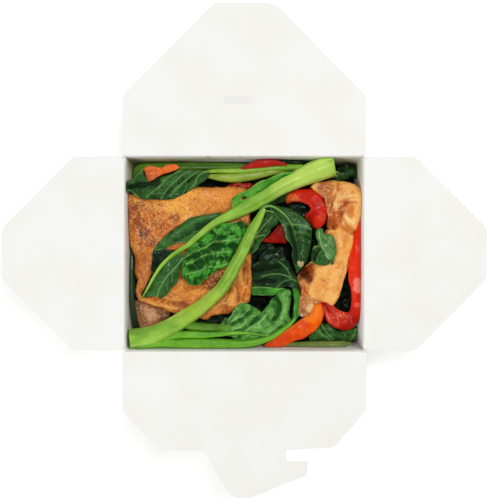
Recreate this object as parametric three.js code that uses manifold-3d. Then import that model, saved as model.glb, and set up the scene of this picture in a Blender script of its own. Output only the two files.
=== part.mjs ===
// Open paperboard food carton, filled with leafy stalks, fried tofu and sliced pepper.
// Millimetres, +Z up. The origin is the middle of the carton's underside, the lid flaps
// stand open level with the rim, and +Y points to the flap with the lock slot.
import * as THREE from 'three';
import { mergeVertices } from 'three/addons/utils/BufferGeometryUtils.js';
import Module from 'manifold-3d';

const wasm = await Module();
wasm.setup();

// Carton
const openingLength = 171.5;
const openingWidth = 139.5;
const baseLength = 152;
const baseWidth = 120.5;
const cartonHeight = 64;
const board = 0.45;
const gussetLayers = 2;
const gussetRimWidth = 48;
const gussetFootHeight = 2;
const clearance = 0.3;
const foldRunning = 0.15;

// Lid flaps: u runs outward from the fold, v along it. Each lies 0.7 mm above the one
// it closes over, so that all four can lie flat.
const flapStagger = 0.7;
const endFlap = { length: 86, halfWidth: 69.3, shoulder: 35, tipHalfWidth: 18, corner: 3 };
const backFlap = { length: 108.7, halfWidth: 87, shoulder: 42, tipHalfWidth: 21.5, corner: 3 };
const lockSlot = { u: 38.8, v: 3.7, length: 21.5, width: 5 };
const frontFlap = { length: 70, halfWidth: 87, shoulder: 41.5, tipHalfWidth: 60 };
const lockTab = { start: -35, neck: 30, hook: 44.5, hookFoot: 77.5, hookTip: 89, tip: 104, tipHalfWidth: 4 };

// Food
const sideCount = 8;
const leafThickness = 1.1;
const largeLeaf = { steps: 8, across: 3 };
const bedHeight = 40;
const bedBumps = 2.2;

const paper = new THREE.MeshStandardMaterial({ color: 0xf4f3ee, roughness: 0.62, metalness: 0 });
const stalkGreen = new THREE.MeshStandardMaterial({ color: 0x8fc040, roughness: 0.4, metalness: 0 });
const leafGreen = new THREE.MeshStandardMaterial({ color: 0x2c6a2c, roughness: 0.38, metalness: 0 });
const bedGreen = new THREE.MeshStandardMaterial({ color: 0x1d4019, roughness: 0.5, metalness: 0 });
const friedTofu = new THREE.MeshStandardMaterial({ color: 0xd08540, roughness: 0.5, metalness: 0 });
const redPepper = new THREE.MeshStandardMaterial({ color: 0xc9301c, roughness: 0.25, metalness: 0 });
const orangePepper = new THREE.MeshStandardMaterial({ color: 0xee6a1e, roughness: 0.25, metalness: 0 });
const carrotOrange = new THREE.MeshStandardMaterial({ color: 0xe2702a, roughness: 0.4, metalness: 0 });
const garlicCream = new THREE.MeshStandardMaterial({ color: 0xcdbf94, roughness: 0.5, metalness: 0 });

// --- Solids from geometries ---

function weld(geometry) {
  geometry.deleteAttribute('normal');
  geometry.deleteAttribute('uv');
  return mergeVertices(geometry, 1e-4);
}

function signedVolume(positions, triangles) {
  const [a, b, c] = [new THREE.Vector3(), new THREE.Vector3(), new THREE.Vector3()];
  let volume = 0;
  for (let i = 0; i < triangles.length; i += 3) {
    a.fromArray(positions, 3 * triangles[i]);
    b.fromArray(positions, 3 * triangles[i + 1]);
    c.fromArray(positions, 3 * triangles[i + 2]);
    volume += a.dot(b.cross(c)) / 6;
  }
  return volume;
}

// A geometry as a manifold solid, its surface moved outward by grow.
function toSolid(geometry, grow = 0) {
  const welded = weld(geometry.clone());
  const positions = welded.attributes.position.array;
  const triangles = Uint32Array.from(welded.index.array);
  if (signedVolume(positions, triangles) < 0) {
    triangles.reverse();
    welded.setIndex(new THREE.BufferAttribute(triangles, 1));
  }
  if (grow > 0) {
    welded.computeVertexNormals();
    const normals = welded.attributes.normal.array;
    for (let i = 0; i < positions.length; i += 1) {
      positions[i] += grow * normals[i];
    }
  }
  const mesh = new wasm.Mesh({ numProp: 3, vertProperties: Float32Array.from(positions), triVerts: triangles });
  return new wasm.Manifold(mesh);
}

function toMesh(name, solid, material) {
  const result = solid.getMesh();
  const geometry = new THREE.BufferGeometry();
  geometry.setAttribute('position', new THREE.BufferAttribute(Float32Array.from(result.vertProperties), 3));
  geometry.setIndex(new THREE.BufferAttribute(Uint32Array.from(result.triVerts), 1));
  const mesh = new THREE.Mesh(geometry, material);
  mesh.name = name;
  return mesh;
}

// Closed body through rings of equal size, capped at both ends by a fan on the ring's middle.
function loft(rings) {
  const count = rings[0].length;
  const positions = rings.flat().flatMap((p) => [p.x, p.y, p.z]);
  const triangles = [];
  for (let r = 0; r < rings.length - 1; r += 1) {
    for (let i = 0; i < count; i += 1) {
      const next = (i + 1) % count;
      const [a, b] = [r * count + i, r * count + next];
      triangles.push(a, b, a + count, b, b + count, a + count);
    }
  }
  const lastStart = (rings.length - 1) * count;
  for (const [start, flip] of [[0, true], [lastStart, false]]) {
    const ring = start === 0 ? rings[0] : rings[rings.length - 1];
    const middle = ring.reduce((sum, p) => sum.add(p), new THREE.Vector3()).divideScalar(count);
    const centre = positions.length / 3;
    positions.push(middle.x, middle.y, middle.z);
    for (let i = 0; i < count; i += 1) {
      const [a, b] = [start + i, start + ((i + 1) % count)];
      triangles.push(...(flip ? [b, a, centre] : [a, b, centre]));
    }
  }
  const geometry = new THREE.BufferGeometry();
  geometry.setAttribute('position', new THREE.Float32BufferAttribute(positions, 3));
  geometry.setIndex(triangles);
  return geometry;
}

// Box whose vertices are moved by a function of the unit coordinates.
function shapedBox(place) {
  const geometry = new THREE.BoxGeometry(2, 2, 2);
  const position = geometry.attributes.position;
  for (let i = 0; i < position.count; i += 1) {
    const p = place(position.getX(i), position.getY(i), position.getZ(i));
    position.setXYZ(i, p[0], p[1], p[2]);
  }
  return geometry;
}

// --- Carton ---

const halfLengthAt = (z) => (baseLength + (openingLength - baseLength) * (z / cartonHeight)) / 2;
const halfWidthAt = (z) => (baseWidth + (openingWidth - baseWidth) * (z / cartonHeight)) / 2;

// Tapered block that follows the walls' inner faces, offset outward.
function taperedBlock(low, high, offset) {
  return toSolid(shapedBox((x, y, z) => {
    const height = z < 0 ? low : high;
    return [x * (halfLengthAt(height) + offset), y * (halfWidthAt(height) + offset), height];
  }));
}

const frontFoldZ = cartonHeight - board / 2;
const backFoldZ = frontFoldZ - flapStagger;
const endFoldZ = backFoldZ - flapStagger;
const wallTopBelowFold = board / 2 + clearance;
const gussetDepth = gussetLayers * board;
const endFoldX = openingLength / 2 + board + gussetDepth + board / 2 + foldRunning;
const longFoldY = openingWidth / 2 + board + board / 2 + foldRunning;

// The web corner, folded flat against the outside of an end wall: two layers, a triangle.
function gusset(sideX, sideY) {
  const top = endFoldZ - wallTopBelowFold;
  const outline = new THREE.Shape();
  outline.moveTo(halfWidthAt(gussetFootHeight) + board, gussetFootHeight);
  outline.lineTo(halfWidthAt(top) + board, top);
  outline.lineTo(halfWidthAt(top) + board - gussetRimWidth, top);
  outline.closePath();
  const geometry = new THREE.ExtrudeGeometry(outline, { depth: gussetDepth + board / 2, bevelEnabled: false });
  const position = geometry.attributes.position;
  for (let i = 0; i < position.count; i += 1) {
    const [across, height, depth] = [position.getX(i), position.getY(i), position.getZ(i)];
    const outward = halfLengthAt(height) + board / 2 + depth;
    position.setXYZ(i, sideX * outward, sideY * across, height);
  }
  return toSolid(geometry);
}

function slice(halfX, halfY, low, centreX = 0, centreY = 0) {
  return toSolid(shapedBox((x, y, z) => [
    centreX + x * halfX,
    centreY + y * halfY,
    z < 0 ? low : cartonHeight + 2,
  ]));
}

function makeTray() {
  let tray = taperedBlock(0, cartonHeight, board);
  for (const sideX of [-1, 1]) {
    for (const sideY of [-1, 1]) {
      tray = tray.add(gusset(sideX, sideY));
    }
  }
  tray = tray.subtract(taperedBlock(board, cartonHeight + 1, 0));
  const wallBand = 4;
  for (const side of [-1, 1]) {
    const endX = side * (openingLength / 2 + wallBand - board);
    tray = tray.subtract(slice(wallBand, openingWidth, endFoldZ - wallTopBelowFold, endX, 0));
  }
  const wallY = openingWidth / 2 + wallBand - 1;
  tray = tray.subtract(slice(openingLength, wallBand, backFoldZ - wallTopBelowFold, 0, wallY));
  return tray.subtract(slice(openingLength, wallBand, frontFoldZ - wallTopBelowFold, 0, -wallY));
}

// A point on the way from one corner to the next, a given distance along.
function towards(from, to, distance) {
  const step = to.clone().sub(from);
  return from.clone().add(step.setLength(Math.min(distance, step.length() / 2)));
}

// Polygon whose corners past the first and last are rounded.
function roundedOutline(corners, radius) {
  const points = corners.map(([u, v]) => new THREE.Vector2(u, v));
  const shape = new THREE.Shape();
  shape.moveTo(points[0].x, points[0].y);
  for (let i = 1; i < points.length - 1; i += 1) {
    const enter = towards(points[i], points[i - 1], radius);
    const leave = towards(points[i], points[i + 1], radius);
    shape.lineTo(enter.x, enter.y);
    shape.quadraticCurveTo(points[i].x, points[i].y, leave.x, leave.y);
  }
  const last = points[points.length - 1];
  shape.lineTo(last.x, last.y);
  shape.closePath();
  return shape;
}

function shoulderedOutline({ length, halfWidth, shoulder, tipHalfWidth, corner }) {
  return roundedOutline([
    [0, -halfWidth],
    [shoulder, -halfWidth],
    [length, -tipHalfWidth],
    [length, tipHalfWidth],
    [shoulder, halfWidth],
    [0, halfWidth],
  ], corner);
}

function slottedOutline() {
  const shape = shoulderedOutline(backFlap);
  const [u, v] = [lockSlot.width / 2, lockSlot.length / 2];
  const slot = new THREE.Path();
  slot.moveTo(lockSlot.u - u, lockSlot.v - v);
  slot.lineTo(lockSlot.u - u, lockSlot.v + v);
  slot.lineTo(lockSlot.u + u, lockSlot.v + v);
  slot.lineTo(lockSlot.u + u, lockSlot.v - v);
  slot.closePath();
  shape.holes.push(slot);
  return shape;
}

// The tab leaves the flap in an S-curve on one side and hooks back on the other.
function tabbedOutline() {
  const { length, halfWidth, shoulder, tipHalfWidth } = frontFlap;
  const { start, neck, hook, hookFoot, hookTip, tip } = lockTab;
  const shape = new THREE.Shape();
  shape.moveTo(0, -halfWidth);
  shape.lineTo(shoulder, -halfWidth);
  shape.lineTo(length, -tipHalfWidth);
  shape.lineTo(length, start);
  shape.bezierCurveTo(length + 1, start + 12, length + 14, start + 14, tip - 9, start + 21);
  shape.quadraticCurveTo(tip, start + 26, tip, -lockTab.tipHalfWidth);
  shape.lineTo(tip, lockTab.tipHalfWidth);
  shape.lineTo(hookTip, hook - 3);
  shape.quadraticCurveTo(hookTip - 2, hook, hookFoot, hook);
  shape.lineTo(hookFoot, neck);
  shape.lineTo(length, neck);
  shape.lineTo(length - 2, tipHalfWidth + 4);
  shape.lineTo(shoulder, halfWidth);
  shape.lineTo(0, halfWidth);
  shape.closePath();
  return shape;
}

function makeFlap(name, outline, foldX, foldY, foldZ, turn) {
  const settings = { depth: board, bevelEnabled: false, curveSegments: 5 };
  const geometry = new THREE.ExtrudeGeometry(outline, settings);
  geometry.translate(0, 0, -board / 2);
  const mesh = new THREE.Mesh(geometry, paper);
  mesh.name = name;
  mesh.position.set(foldX, foldY, foldZ);
  mesh.rotation.z = turn;
  return mesh;
}

// --- Food shapes ---

const upward = new THREE.Vector3(0, 0, 1);
const vectors = (points) => points.map((p) => new THREE.Vector3(...p));

function valueAt(values, t) {
  const place = t * (values.length - 1);
  const low = Math.min(Math.floor(place), values.length - 2);
  return THREE.MathUtils.lerp(values[low], values[low + 1], place - low);
}

// Tapered stem or strip along a curve: radii are half widths, flatness is height over width.
function strand({ path, radii, flatness = 0.85, steps = 9 }) {
  const curve = new THREE.CatmullRomCurve3(vectors(path), false, 'centripetal');
  const rings = [];
  for (let s = 0; s <= steps; s += 1) {
    const t = s / steps;
    const centre = curve.getPointAt(t);
    const tangent = curve.getTangentAt(t);
    const side = tangent.clone().cross(upward).normalize();
    const rise = side.clone().cross(tangent).normalize();
    const radius = valueAt(radii, t);
    const ring = [];
    for (let i = 0; i < sideCount; i += 1) {
      const angle = (2 * Math.PI * i) / sideCount;
      ring.push(centre.clone()
        .addScaledVector(side, radius * Math.cos(angle))
        .addScaledVector(rise, radius * flatness * Math.sin(angle)));
    }
    rings.push(ring);
  }
  return loft(rings);
}

// Leaf blade between three curves, left edge, rib and right edge, with a ruffled surface.
function blade({ left, rib, right, ruffle = 0.8, waves = 3, steps = 7, across = 2 }) {
  const curves = [left, rib, right].map((p) => new THREE.CatmullRomCurve3(vectors(p), false, 'centripetal'));
  const rings = [];
  for (let s = 0; s <= steps; s += 1) {
    const t = s / steps;
    const [a, b, c] = curves.map((curve) => curve.getPoint(t));
    const top = [];
    for (let i = -across; i <= across; i += 1) {
      const reach = Math.abs(i) / across;
      const point = b.clone().lerp(i < 0 ? a : c, reach);
      point.z += ruffle * reach * Math.sin(2 * Math.PI * waves * t + i);
      top.push(point);
    }
    const under = top.map((p) => new THREE.Vector3(p.x, p.y, p.z - leafThickness)).reverse();
    rings.push([...top, ...under]);
  }
  return loft(rings);
}

// Slab or chunk with a rounded edge: a closed smooth outline, an uneven sloping top.
function slab({ outline, bottom, top, slopeX = 0, slopeY = 0, edge = 3, lumps = 0.7, points = 22 }) {
  const curve = new THREE.CatmullRomCurve3(vectors(outline.map(([x, y]) => [x, y, 0])), true, 'centripetal');
  const rim = curve.getSpacedPoints(points).slice(0, points);
  const middle = rim.reduce((sum, p) => sum.add(p), new THREE.Vector3()).divideScalar(points);
  const ringAt = (inset, height) => rim.map((p) => {
    const out = p.clone().sub(middle);
    const q = middle.clone().addScaledVector(out, 1 - inset / out.length());
    const bump = lumps * Math.sin(0.19 * q.x + 1) * Math.cos(0.23 * q.y);
    q.z = height > bottom + edge ? height + slopeX * (q.x - middle.x) + slopeY * (q.y - middle.y) + bump : height;
    return q;
  });
  const reach = Math.min(...rim.map((p) => p.distanceTo(middle)));
  return loft([
    ringAt(edge, bottom),
    ringAt(0, bottom + edge),
    ringAt(0, top - edge),
    ringAt(0.3 * edge, top - 0.3 * edge),
    ringAt(edge, top),
    ringAt(0.55 * reach, top + 0.4),
  ]);
}

// --- Food pieces, from the one on top down ---

const stemA = {
  path: [[60.5, 63, 54.6], [18.5, 42.5, 56], [-23.5, 19, 55.5], [-57.5, -8.5, 53.5], [-72, -30, 52]],
  radii: [7, 6.3, 4.6, 2.3, 0.7],
  steps: 12,
};
const leafA = {
  left: [[-20, 30, 54], [-52.5, 18, 54], [-68.5, -8.5, 53], [-73.5, -30, 51]],
  rib: [[-16, 23.5, 55.5], [-46.5, 2, 54.5], [-67, -22, 53], [-72, -31.5, 51.5]],
  right: [[-16, 20, 54.5], [-39.5, 1, 54.5], [-54, -26.5, 53], [-66, -33, 51.5]],
  ...largeLeaf,
};
const crinkledA = {
  left: [[-16, 22, 54.5], [-40, 3.5, 54.5], [-46.5, -8, 54], [-43, -21, 53]],
  rib: [[-9, 23.5, 54.5], [-26, 7, 54.8], [-37, -6, 54.5], [-40, -23, 53.2]],
  right: [[0.5, 25, 53.5], [-1, 11, 52.6], [-14, -7.5, 52.6], [-37, -23.5, 52.8]],
};
const sideLeafA = {
  left: [[31, 58.5, 56], [13, 53, 56], [-4, 45.5, 55.5], [-11.5, 38, 55]],
  rib: [[30, 54, 57.5], [11, 46, 57.5], [-4, 39, 57], [-11, 35.5, 56]],
  right: [[28, 50, 57.5], [9, 40, 57.5], [-4, 33, 56.5], [-10.5, 32, 56]],
  ruffle: 0.3,
};
const stemB = {
  path: [[-81.5, -61.8, 55], [-61, -57.5, 55.4], [-39, -46, 55.8], [-19, -30.5, 56.4], [-7.5, -10.5, 57],
    [1.5, 11, 57], [9.5, 27.5, 57], [15, 33.8, 57], [22, 32.8, 57], [31, 25, 56], [37, 11, 54.6]],
  radii: [6.4, 5.8, 5, 4.1, 2.9, 2, 1.3, 0.9],
  steps: 14,
};
const leafB = {
  left: [[14, 31, 56], [26, 22, 54], [31, 8, 52.5], [35.5, -8, 50]],
  rib: [[16, 33.6, 57], [31, 25, 56.4], [38.5, 8, 54.6], [39, -9, 51.5]],
  right: [[18.5, 36, 56], [41, 29.5, 55], [49, 14, 54], [42.5, -8, 51]],
  ...largeLeaf,
};
const underLeafB = {
  left: [[11, 27, 54.5], [5, 14, 55.5], [-1, 1, 54.5]],
  rib: [[17, 26, 53.5], [10, 13.5, 54], [2, 1, 53.5]],
  right: [[22, 25.5, 51.5], [14, 12.5, 51.5], [5, 1, 51.5]],
  steps: 5,
};
const shoots = [
  { path: [[-59, -59, 54], [-38, -55.8, 52.5], [-14, -56, 52], [5, -58, 52]], radii: [2.6, 3, 2.8, 1.6], steps: 6 },
  {
    path: [[-59, -61, 55], [-36, -60.4, 54], [-7, -60, 53.5], [20, -60, 52.5], [34, -54, 51]],
    radii: [2.5, 2.6, 2.2, 1],
    steps: 7,
  },
  {
    path: [[-61, -62.5, 54], [-36, -64.8, 54.5], [0, -64.8, 54.5], [16, -62.5, 53], [28, -58, 51]],
    radii: [2.8, 3.2, 3, 1.2],
    steps: 7,
  },
];
const shootLeaf = {
  left: [[-16, -53, 51], [-5, -36, 51.5], [9.5, -39.5, 50.5], [27, -28, 50.5], [39, -37, 49.5]],
  rib: [[-10, -57.5, 53], [5, -57, 53.5], [18, -56, 53], [30, -50, 52.5], [37.5, -44, 50.5]],
  right: [[-6, -60, 52], [8, -62.5, 52.5], [19, -60.5, 52], [30, -54.5, 51.5], [37, -48.5, 50.5]],
  ...largeLeaf,
};
const ringPepper = {
  path: [[32.5, 40.5, 46], [41, 44.5, 48], [49.5, 42.5, 49], [53.5, 36, 49.5], [54, 29, 49], [51, 22, 48]],
  radii: [2.5, 4.6, 5, 5, 4],
  flatness: 0.75,
  steps: 10,
};
const smallLeaf = {
  left: [[52.5, 18, 52], [52.5, 8, 51.5], [49, 0, 50.5], [51, -8, 50]],
  rib: [[56, 17.5, 53.5], [57.5, 6, 54], [58, -2, 53], [57, -9, 51.5]],
  right: [[58.5, 17, 53], [64, 10, 53], [67, 1, 53], [61, -9, 52.2]],
  ruffle: 0.4,
  steps: 6,
};
const garlic = {
  outline: [[36, -4], [39, -2.5], [41.5, -5], [41, -9], [38, -10.5], [36, -8]],
  bottom: 45.4, top: 49.4, edge: 1.4, lumps: 0, points: 9,
};
const middleLeaf = {
  left: [[8.5, -4, 46], [4.8, -14, 46], [6, -29, 46.5]],
  rib: [[25, -3.5, 48], [23, -12, 49], [18, -29.5, 47.5]],
  right: [[36, -5, 47], [38.5, -16, 47.5], [37, -29.5, 47]],
  steps: 6,
};
const foldedBand = {
  left: [[29, -22, 46], [31.5, -37, 47.2], [33, -47, 47.5]],
  rib: [[34, -23, 47.5], [35.5, -37, 48.5], [35.5, -48, 48.2]],
  right: [[37.5, -25, 46.5], [38.8, -38, 47.5], [37.5, -49, 47.5]],
  ruffle: 0.2, steps: 4,
};
const darkLeaf = {
  left: [[9, 5, 42], [20, 9, 43.5], [31, 8, 43]],
  rib: [[8, -1, 43.5], [20, 2, 45], [31, 1, 44]],
  right: [[8, -7, 42.5], [20, -6, 44], [31, -6, 43.5]],
  steps: 6,
};
const carrot = {
  outline: [[-73.5, 63], [-61, 62.6], [-53, 64.5], [-48.2, 61.5], [-57, 56.5], [-69, 51.8]],
  bottom: 48.6, top: 51.8, edge: 0.8, lumps: 0.3, points: 12,
};
const leafC = {
  left: [[-23.5, 60, 50.5], [-45, 59.5, 51.5], [-62, 53.5, 54.5], [-84.5, 51, 59.5]],
  rib: [[-23, 58, 52], [-43, 55, 54], [-63, 48.5, 57.5], [-84.5, 46.5, 60.6]],
  right: [[-25, 55, 50.5], [-39.5, 45.5, 54], [-58, 39, 56.3], [-84.5, 42, 59.5]],
};
const stemC = {
  path: [[43, 61, 44], [15, 60, 46.5], [-11.5, 56.5, 48.5], [-33.5, 57, 50]],
  radii: [3.6, 4.3, 4.2, 1.6],
};
const backPepper = {
  path: [[2, 62.5, 50.5], [9, 65.2, 52.5], [18, 65.6, 53.5], [30, 65, 52]],
  radii: [1.4, 2.8, 2.8, 1.2],
  flatness: 1.1, steps: 7,
};
const backLeaf = {
  left: [[27, 67, 53], [38, 66.8, 52], [49, 66.5, 50]],
  rib: [[27, 65, 51], [38, 64.5, 50], [49, 64, 48]],
  right: [[27, 62, 47.5], [38, 61.5, 46.5], [49, 61, 45]],
  steps: 5,
};
const tofuLeft = {
  outline: [[-84, 41], [-62, 46], [-5, 46], [3.5, 30], [5.5, -20], [-4, -43], [-28, -49.5],
    [-61, -42.5], [-78, -34], [-81, -15], [-83, 15]],
  bottom: 29, top: 51.6, slopeX: -0.035, slopeY: 0.05, edge: 3.2, points: 20,
};
const tofuRight = {
  outline: [[57.5, 50], [70, 52.5], [82, 50], [86, 43], [84.5, 22], [78, -6], [70.5, -31],
    [62, -38], [40.5, -32], [39, -18], [46, 0], [52, 17]],
  bottom: 31, top: 52.4, slopeX: 0.17, slopeY: 0.02, edge: 3.2, points: 20,
};
const sidePepper = {
  path: [[81.5, 24, 51], [81, 6, 53], [80, -11, 53], [79.6, -27, 52.5], [78.5, -38, 51],
    [75, -44.5, 49.5], [70, -46.5, 49], [63.5, -44, 48], [58.5, -38, 47]],
  radii: [2.6, 3.2, 4, 4.2, 4.8, 5.4, 4.6, 3],
  flatness: 0.9, steps: 12,
};
const orangePepperSlice = {
  path: [[18, -65.5, 50.5], [26.5, -63.5, 50], [37, -58.5, 49], [47, -52, 48.5], [52, -44.5, 48], [52.5, -37.5, 47]],
  radii: [2.2, 3.6, 4.4, 5, 4.8, 3],
  flatness: 0.75, steps: 10,
};
const tofuCorner = {
  outline: [[40, -31], [40.5, -43], [46, -46.5], [55, -40.5], [60, -33], [52, -27]],
  bottom: 36, top: 48, edge: 2, points: 11,
};
const tofuUnder = {
  outline: [[-79, -36], [-79, -48], [-75, -55], [-62, -52], [-49, -48], [-49, -36]],
  bottom: 34, top: 46.5, edge: 2, points: 11,
};
const tofuFront = {
  outline: [[-68, -55], [-68, -65.5], [-56, -66.5], [-45, -65.5], [-45, -56]],
  bottom: 38, top: 49, edge: 2, points: 10,
};
const middlePepper = {
  path: [[13.5, 8, 43], [21, 15, 44], [28, 20, 44.5], [34, 22.5, 44]],
  radii: [1.6, 5, 5.4, 2.4],
  flatness: 0.6, steps: 6,
};
const lowPepper = {
  path: [[-13.5, 49.5, 43], [-4.5, 50.5, 44], [7, 50, 43.5]],
  radii: [1.6, 2.6, 1.6],
  steps: 5,
};
const wallStemLeft = {
  path: [[-82, 6.5, 46], [-82.2, -12, 49], [-82, -31, 50], [-80, -45, 49], [-77, -56, 46]],
  radii: [1.6, 1.9, 2, 2, 1.6],
  flatness: 1,
};
const wallStemBack = {
  path: [[-79, 54, 42], [-77.5, 60, 43.5], [-71, 62.6, 44.5], [-40, 63.2, 44.5], [-1, 63.2, 43.5]],
  radii: [2.6, 3.2, 3, 2.4],
};
const wallStemFront = {
  path: [[30, -66, 48.5], [52, -66, 50.5], [74, -65.2, 52]],
  radii: [2, 2.7, 2.2],
  steps: 8,
};
const cornerStem = {
  path: [[52, 55, 44], [66, 57, 45], [79, 59, 45.5]],
  radii: [2.4, 2.6, 1.8],
  steps: 6,
};
const cornerLeaf = {
  left: [[50, -52, 45], [66, -52, 45.5], [79, -54, 45]],
  rib: [[50, -57, 46.5], [66, -57, 47.5], [80, -59, 46.5]],
  right: [[50, -62, 45], [66, -62.5, 45.5], [79, -63, 45]],
  steps: 6,
};

function heapHeight(x, y) {
  const folds = Math.sin(0.13 * x + 0.7) * Math.cos(0.11 * y);
  return bedHeight + bedBumps * (folds + 0.6 * Math.sin(0.21 * y + 0.17 * x));
}

// The heap of leaves and stalks that fills the carton below the pieces that can be told apart.
function heap(columns = 11, rows = 9) {
  const rings = [];
  const foot = board + clearance;
  for (let c = 0; c <= columns; c += 1) {
    const ring = [];
    const alongX = (2 * c) / columns - 1;
    for (let r = 0; r <= rows; r += 1) {
      const alongY = (2 * r) / rows - 1;
      const [x, y] = [alongX * halfLengthAt(bedHeight), alongY * halfWidthAt(bedHeight)];
      ring.push(new THREE.Vector3(x, y, heapHeight(x, y)));
    }
    for (const alongY of [1, -1]) {
      ring.push(new THREE.Vector3(alongX * halfLengthAt(foot), alongY * halfWidthAt(foot), foot));
    }
    rings.push(ring);
  }
  return loft(rings);
}

const foodPieces = [
  { name: 'stalk_long', material: stalkGreen, parts: [strand(stemA), blade(leafA), blade(crinkledA), blade(sideLeafA)] },
  {
    name: 'stalk_branched',
    material: stalkGreen,
    parts: [strand(stemB), blade(leafB), blade(underLeafB), ...shoots.map(strand), blade(shootLeaf)],
  },
  { name: 'leaf_small', material: leafGreen, parts: [blade(smallLeaf)] },
  { name: 'pepper_ring', material: redPepper, parts: [strand(ringPepper)] },
  { name: 'stalk_back', material: stalkGreen, parts: [strand(stemC), blade(leafC)] },
  { name: 'carrot_slice', material: carrotOrange, parts: [slab(carrot)] },
  { name: 'garlic_bit', material: garlicCream, parts: [slab(garlic)] },
  { name: 'leaf_middle', material: leafGreen, parts: [blade(middleLeaf), blade(foldedBand)] },
  { name: 'tofu_left', material: friedTofu, parts: [slab(tofuLeft)] },
  { name: 'tofu_right', material: friedTofu, parts: [slab(tofuRight)] },
  { name: 'pepper_side', material: redPepper, parts: [strand(sidePepper)] },
  { name: 'pepper_orange', material: orangePepper, parts: [strand(orangePepperSlice)] },
  { name: 'pepper_back', material: redPepper, parts: [strand(backPepper)] },
  { name: 'stem_wall_back', material: stalkGreen, parts: [strand(wallStemBack)] },
  { name: 'stem_wall_left', material: stalkGreen, parts: [strand(wallStemLeft)] },
  { name: 'stem_wall_front', material: stalkGreen, parts: [strand(wallStemFront)] },
  { name: 'leaf_back', material: leafGreen, parts: [blade(backLeaf)] },
  { name: 'leaf_corner', material: leafGreen, parts: [blade(cornerLeaf)] },
  { name: 'stem_corner', material: stalkGreen, parts: [strand(cornerStem)] },
  { name: 'tofu_corner', material: friedTofu, parts: [slab(tofuCorner)] },
  { name: 'tofu_under', material: friedTofu, parts: [slab(tofuUnder)] },
  { name: 'tofu_front', material: friedTofu, parts: [slab(tofuFront)] },
  { name: 'leaf_dark', material: leafGreen, parts: [blade(darkLeaf)] },
  { name: 'pepper_middle', material: redPepper, parts: [strand(middlePepper)] },
  { name: 'pepper_low', material: redPepper, parts: [strand(lowPepper)] },
  { name: 'greens_heap', material: bedGreen, parts: [heap()] },
];

const joined = (parts, grow) => parts.map((part) => toSolid(part, grow)).reduce((a, b) => a.add(b));
const largest = (solid) => solid.decompose().reduce((a, b) => (b.volume() > a.volume() ? b : a));

// Each piece keeps clear of the carton's inside and of every piece above it.
function settle(pieces) {
  const inside = taperedBlock(board + clearance, cartonHeight, -clearance);
  const touching = 0.4;
  let above = null;
  return pieces.map(({ name, material, parts }) => {
    let solid = joined(parts, 0).intersect(inside);
    if (above) {
      solid = solid.subtract(above);
    }
    const cutter = joined(parts, touching);
    above = above ? above.add(cutter) : cutter;
    return toMesh(name, largest(solid), material);
  });
}

const quarter = Math.PI / 2;
const carton = new THREE.Group();
carton.add(toMesh('carton_tray', makeTray(), paper));
carton.add(makeFlap('flap_right', shoulderedOutline(endFlap), endFoldX, 0, endFoldZ, 0));
carton.add(makeFlap('flap_back', slottedOutline(), 0, longFoldY, backFoldZ, quarter));
carton.add(makeFlap('flap_left', shoulderedOutline(endFlap), -endFoldX, 0, endFoldZ, 2 * quarter));
carton.add(makeFlap('flap_front', tabbedOutline(), 0, -longFoldY, frontFoldZ, 3 * quarter));

const food = new THREE.Group();
food.add(...settle(foodPieces));

const filledCarton = new THREE.Group();
filledCarton.add(carton, food);

export default filledCarton;
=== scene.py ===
import math

import bmesh
import bpy
import numpy as np
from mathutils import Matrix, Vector, noise


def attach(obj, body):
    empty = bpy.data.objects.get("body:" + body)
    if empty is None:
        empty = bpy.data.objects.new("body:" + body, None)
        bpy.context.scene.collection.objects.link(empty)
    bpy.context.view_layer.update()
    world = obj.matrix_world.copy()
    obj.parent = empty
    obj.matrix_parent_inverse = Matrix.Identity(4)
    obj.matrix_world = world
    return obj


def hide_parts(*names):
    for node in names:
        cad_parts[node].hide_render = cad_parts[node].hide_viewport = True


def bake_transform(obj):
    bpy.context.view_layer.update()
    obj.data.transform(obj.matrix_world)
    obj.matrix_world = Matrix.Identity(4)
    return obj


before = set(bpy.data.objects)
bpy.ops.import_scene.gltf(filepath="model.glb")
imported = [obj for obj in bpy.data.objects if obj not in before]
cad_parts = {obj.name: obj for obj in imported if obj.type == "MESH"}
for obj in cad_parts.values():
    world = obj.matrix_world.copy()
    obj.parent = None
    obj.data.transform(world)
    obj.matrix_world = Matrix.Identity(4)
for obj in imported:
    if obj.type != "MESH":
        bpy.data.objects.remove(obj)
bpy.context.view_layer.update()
mm = 0.001
cameraHeight, rimHeight, rimPixel = 814.0, 64.0, 0.713  # mm, mm, and mm for a pixel at the rim
pictureMiddle = (244.25, 253.5)


def seen(points):
    # pixels across and down the camera's picture, and a height in mm, to a place in mm
    p = np.array(points, float)
    size = rimPixel * (cameraHeight - p[:, 2]) / (cameraHeight - rimHeight)
    return np.column_stack([(p[:, 0] - pictureMiddle[0]) * size, (pictureMiddle[1] - p[:, 1]) * size, p[:, 2]])


def pixels(points):
    # the way back, without the height
    size = rimPixel * (cameraHeight - points[..., 2]) / (cameraHeight - rimHeight)
    across, down = points[..., 0] / size, points[..., 1] / size
    return np.stack([pictureMiddle[0] + across, pictureMiddle[1] - down], axis=-1)


def seenSpot(x, y, z=52.0):
    return tuple(seen([(x, y, z)])[0])


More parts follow.
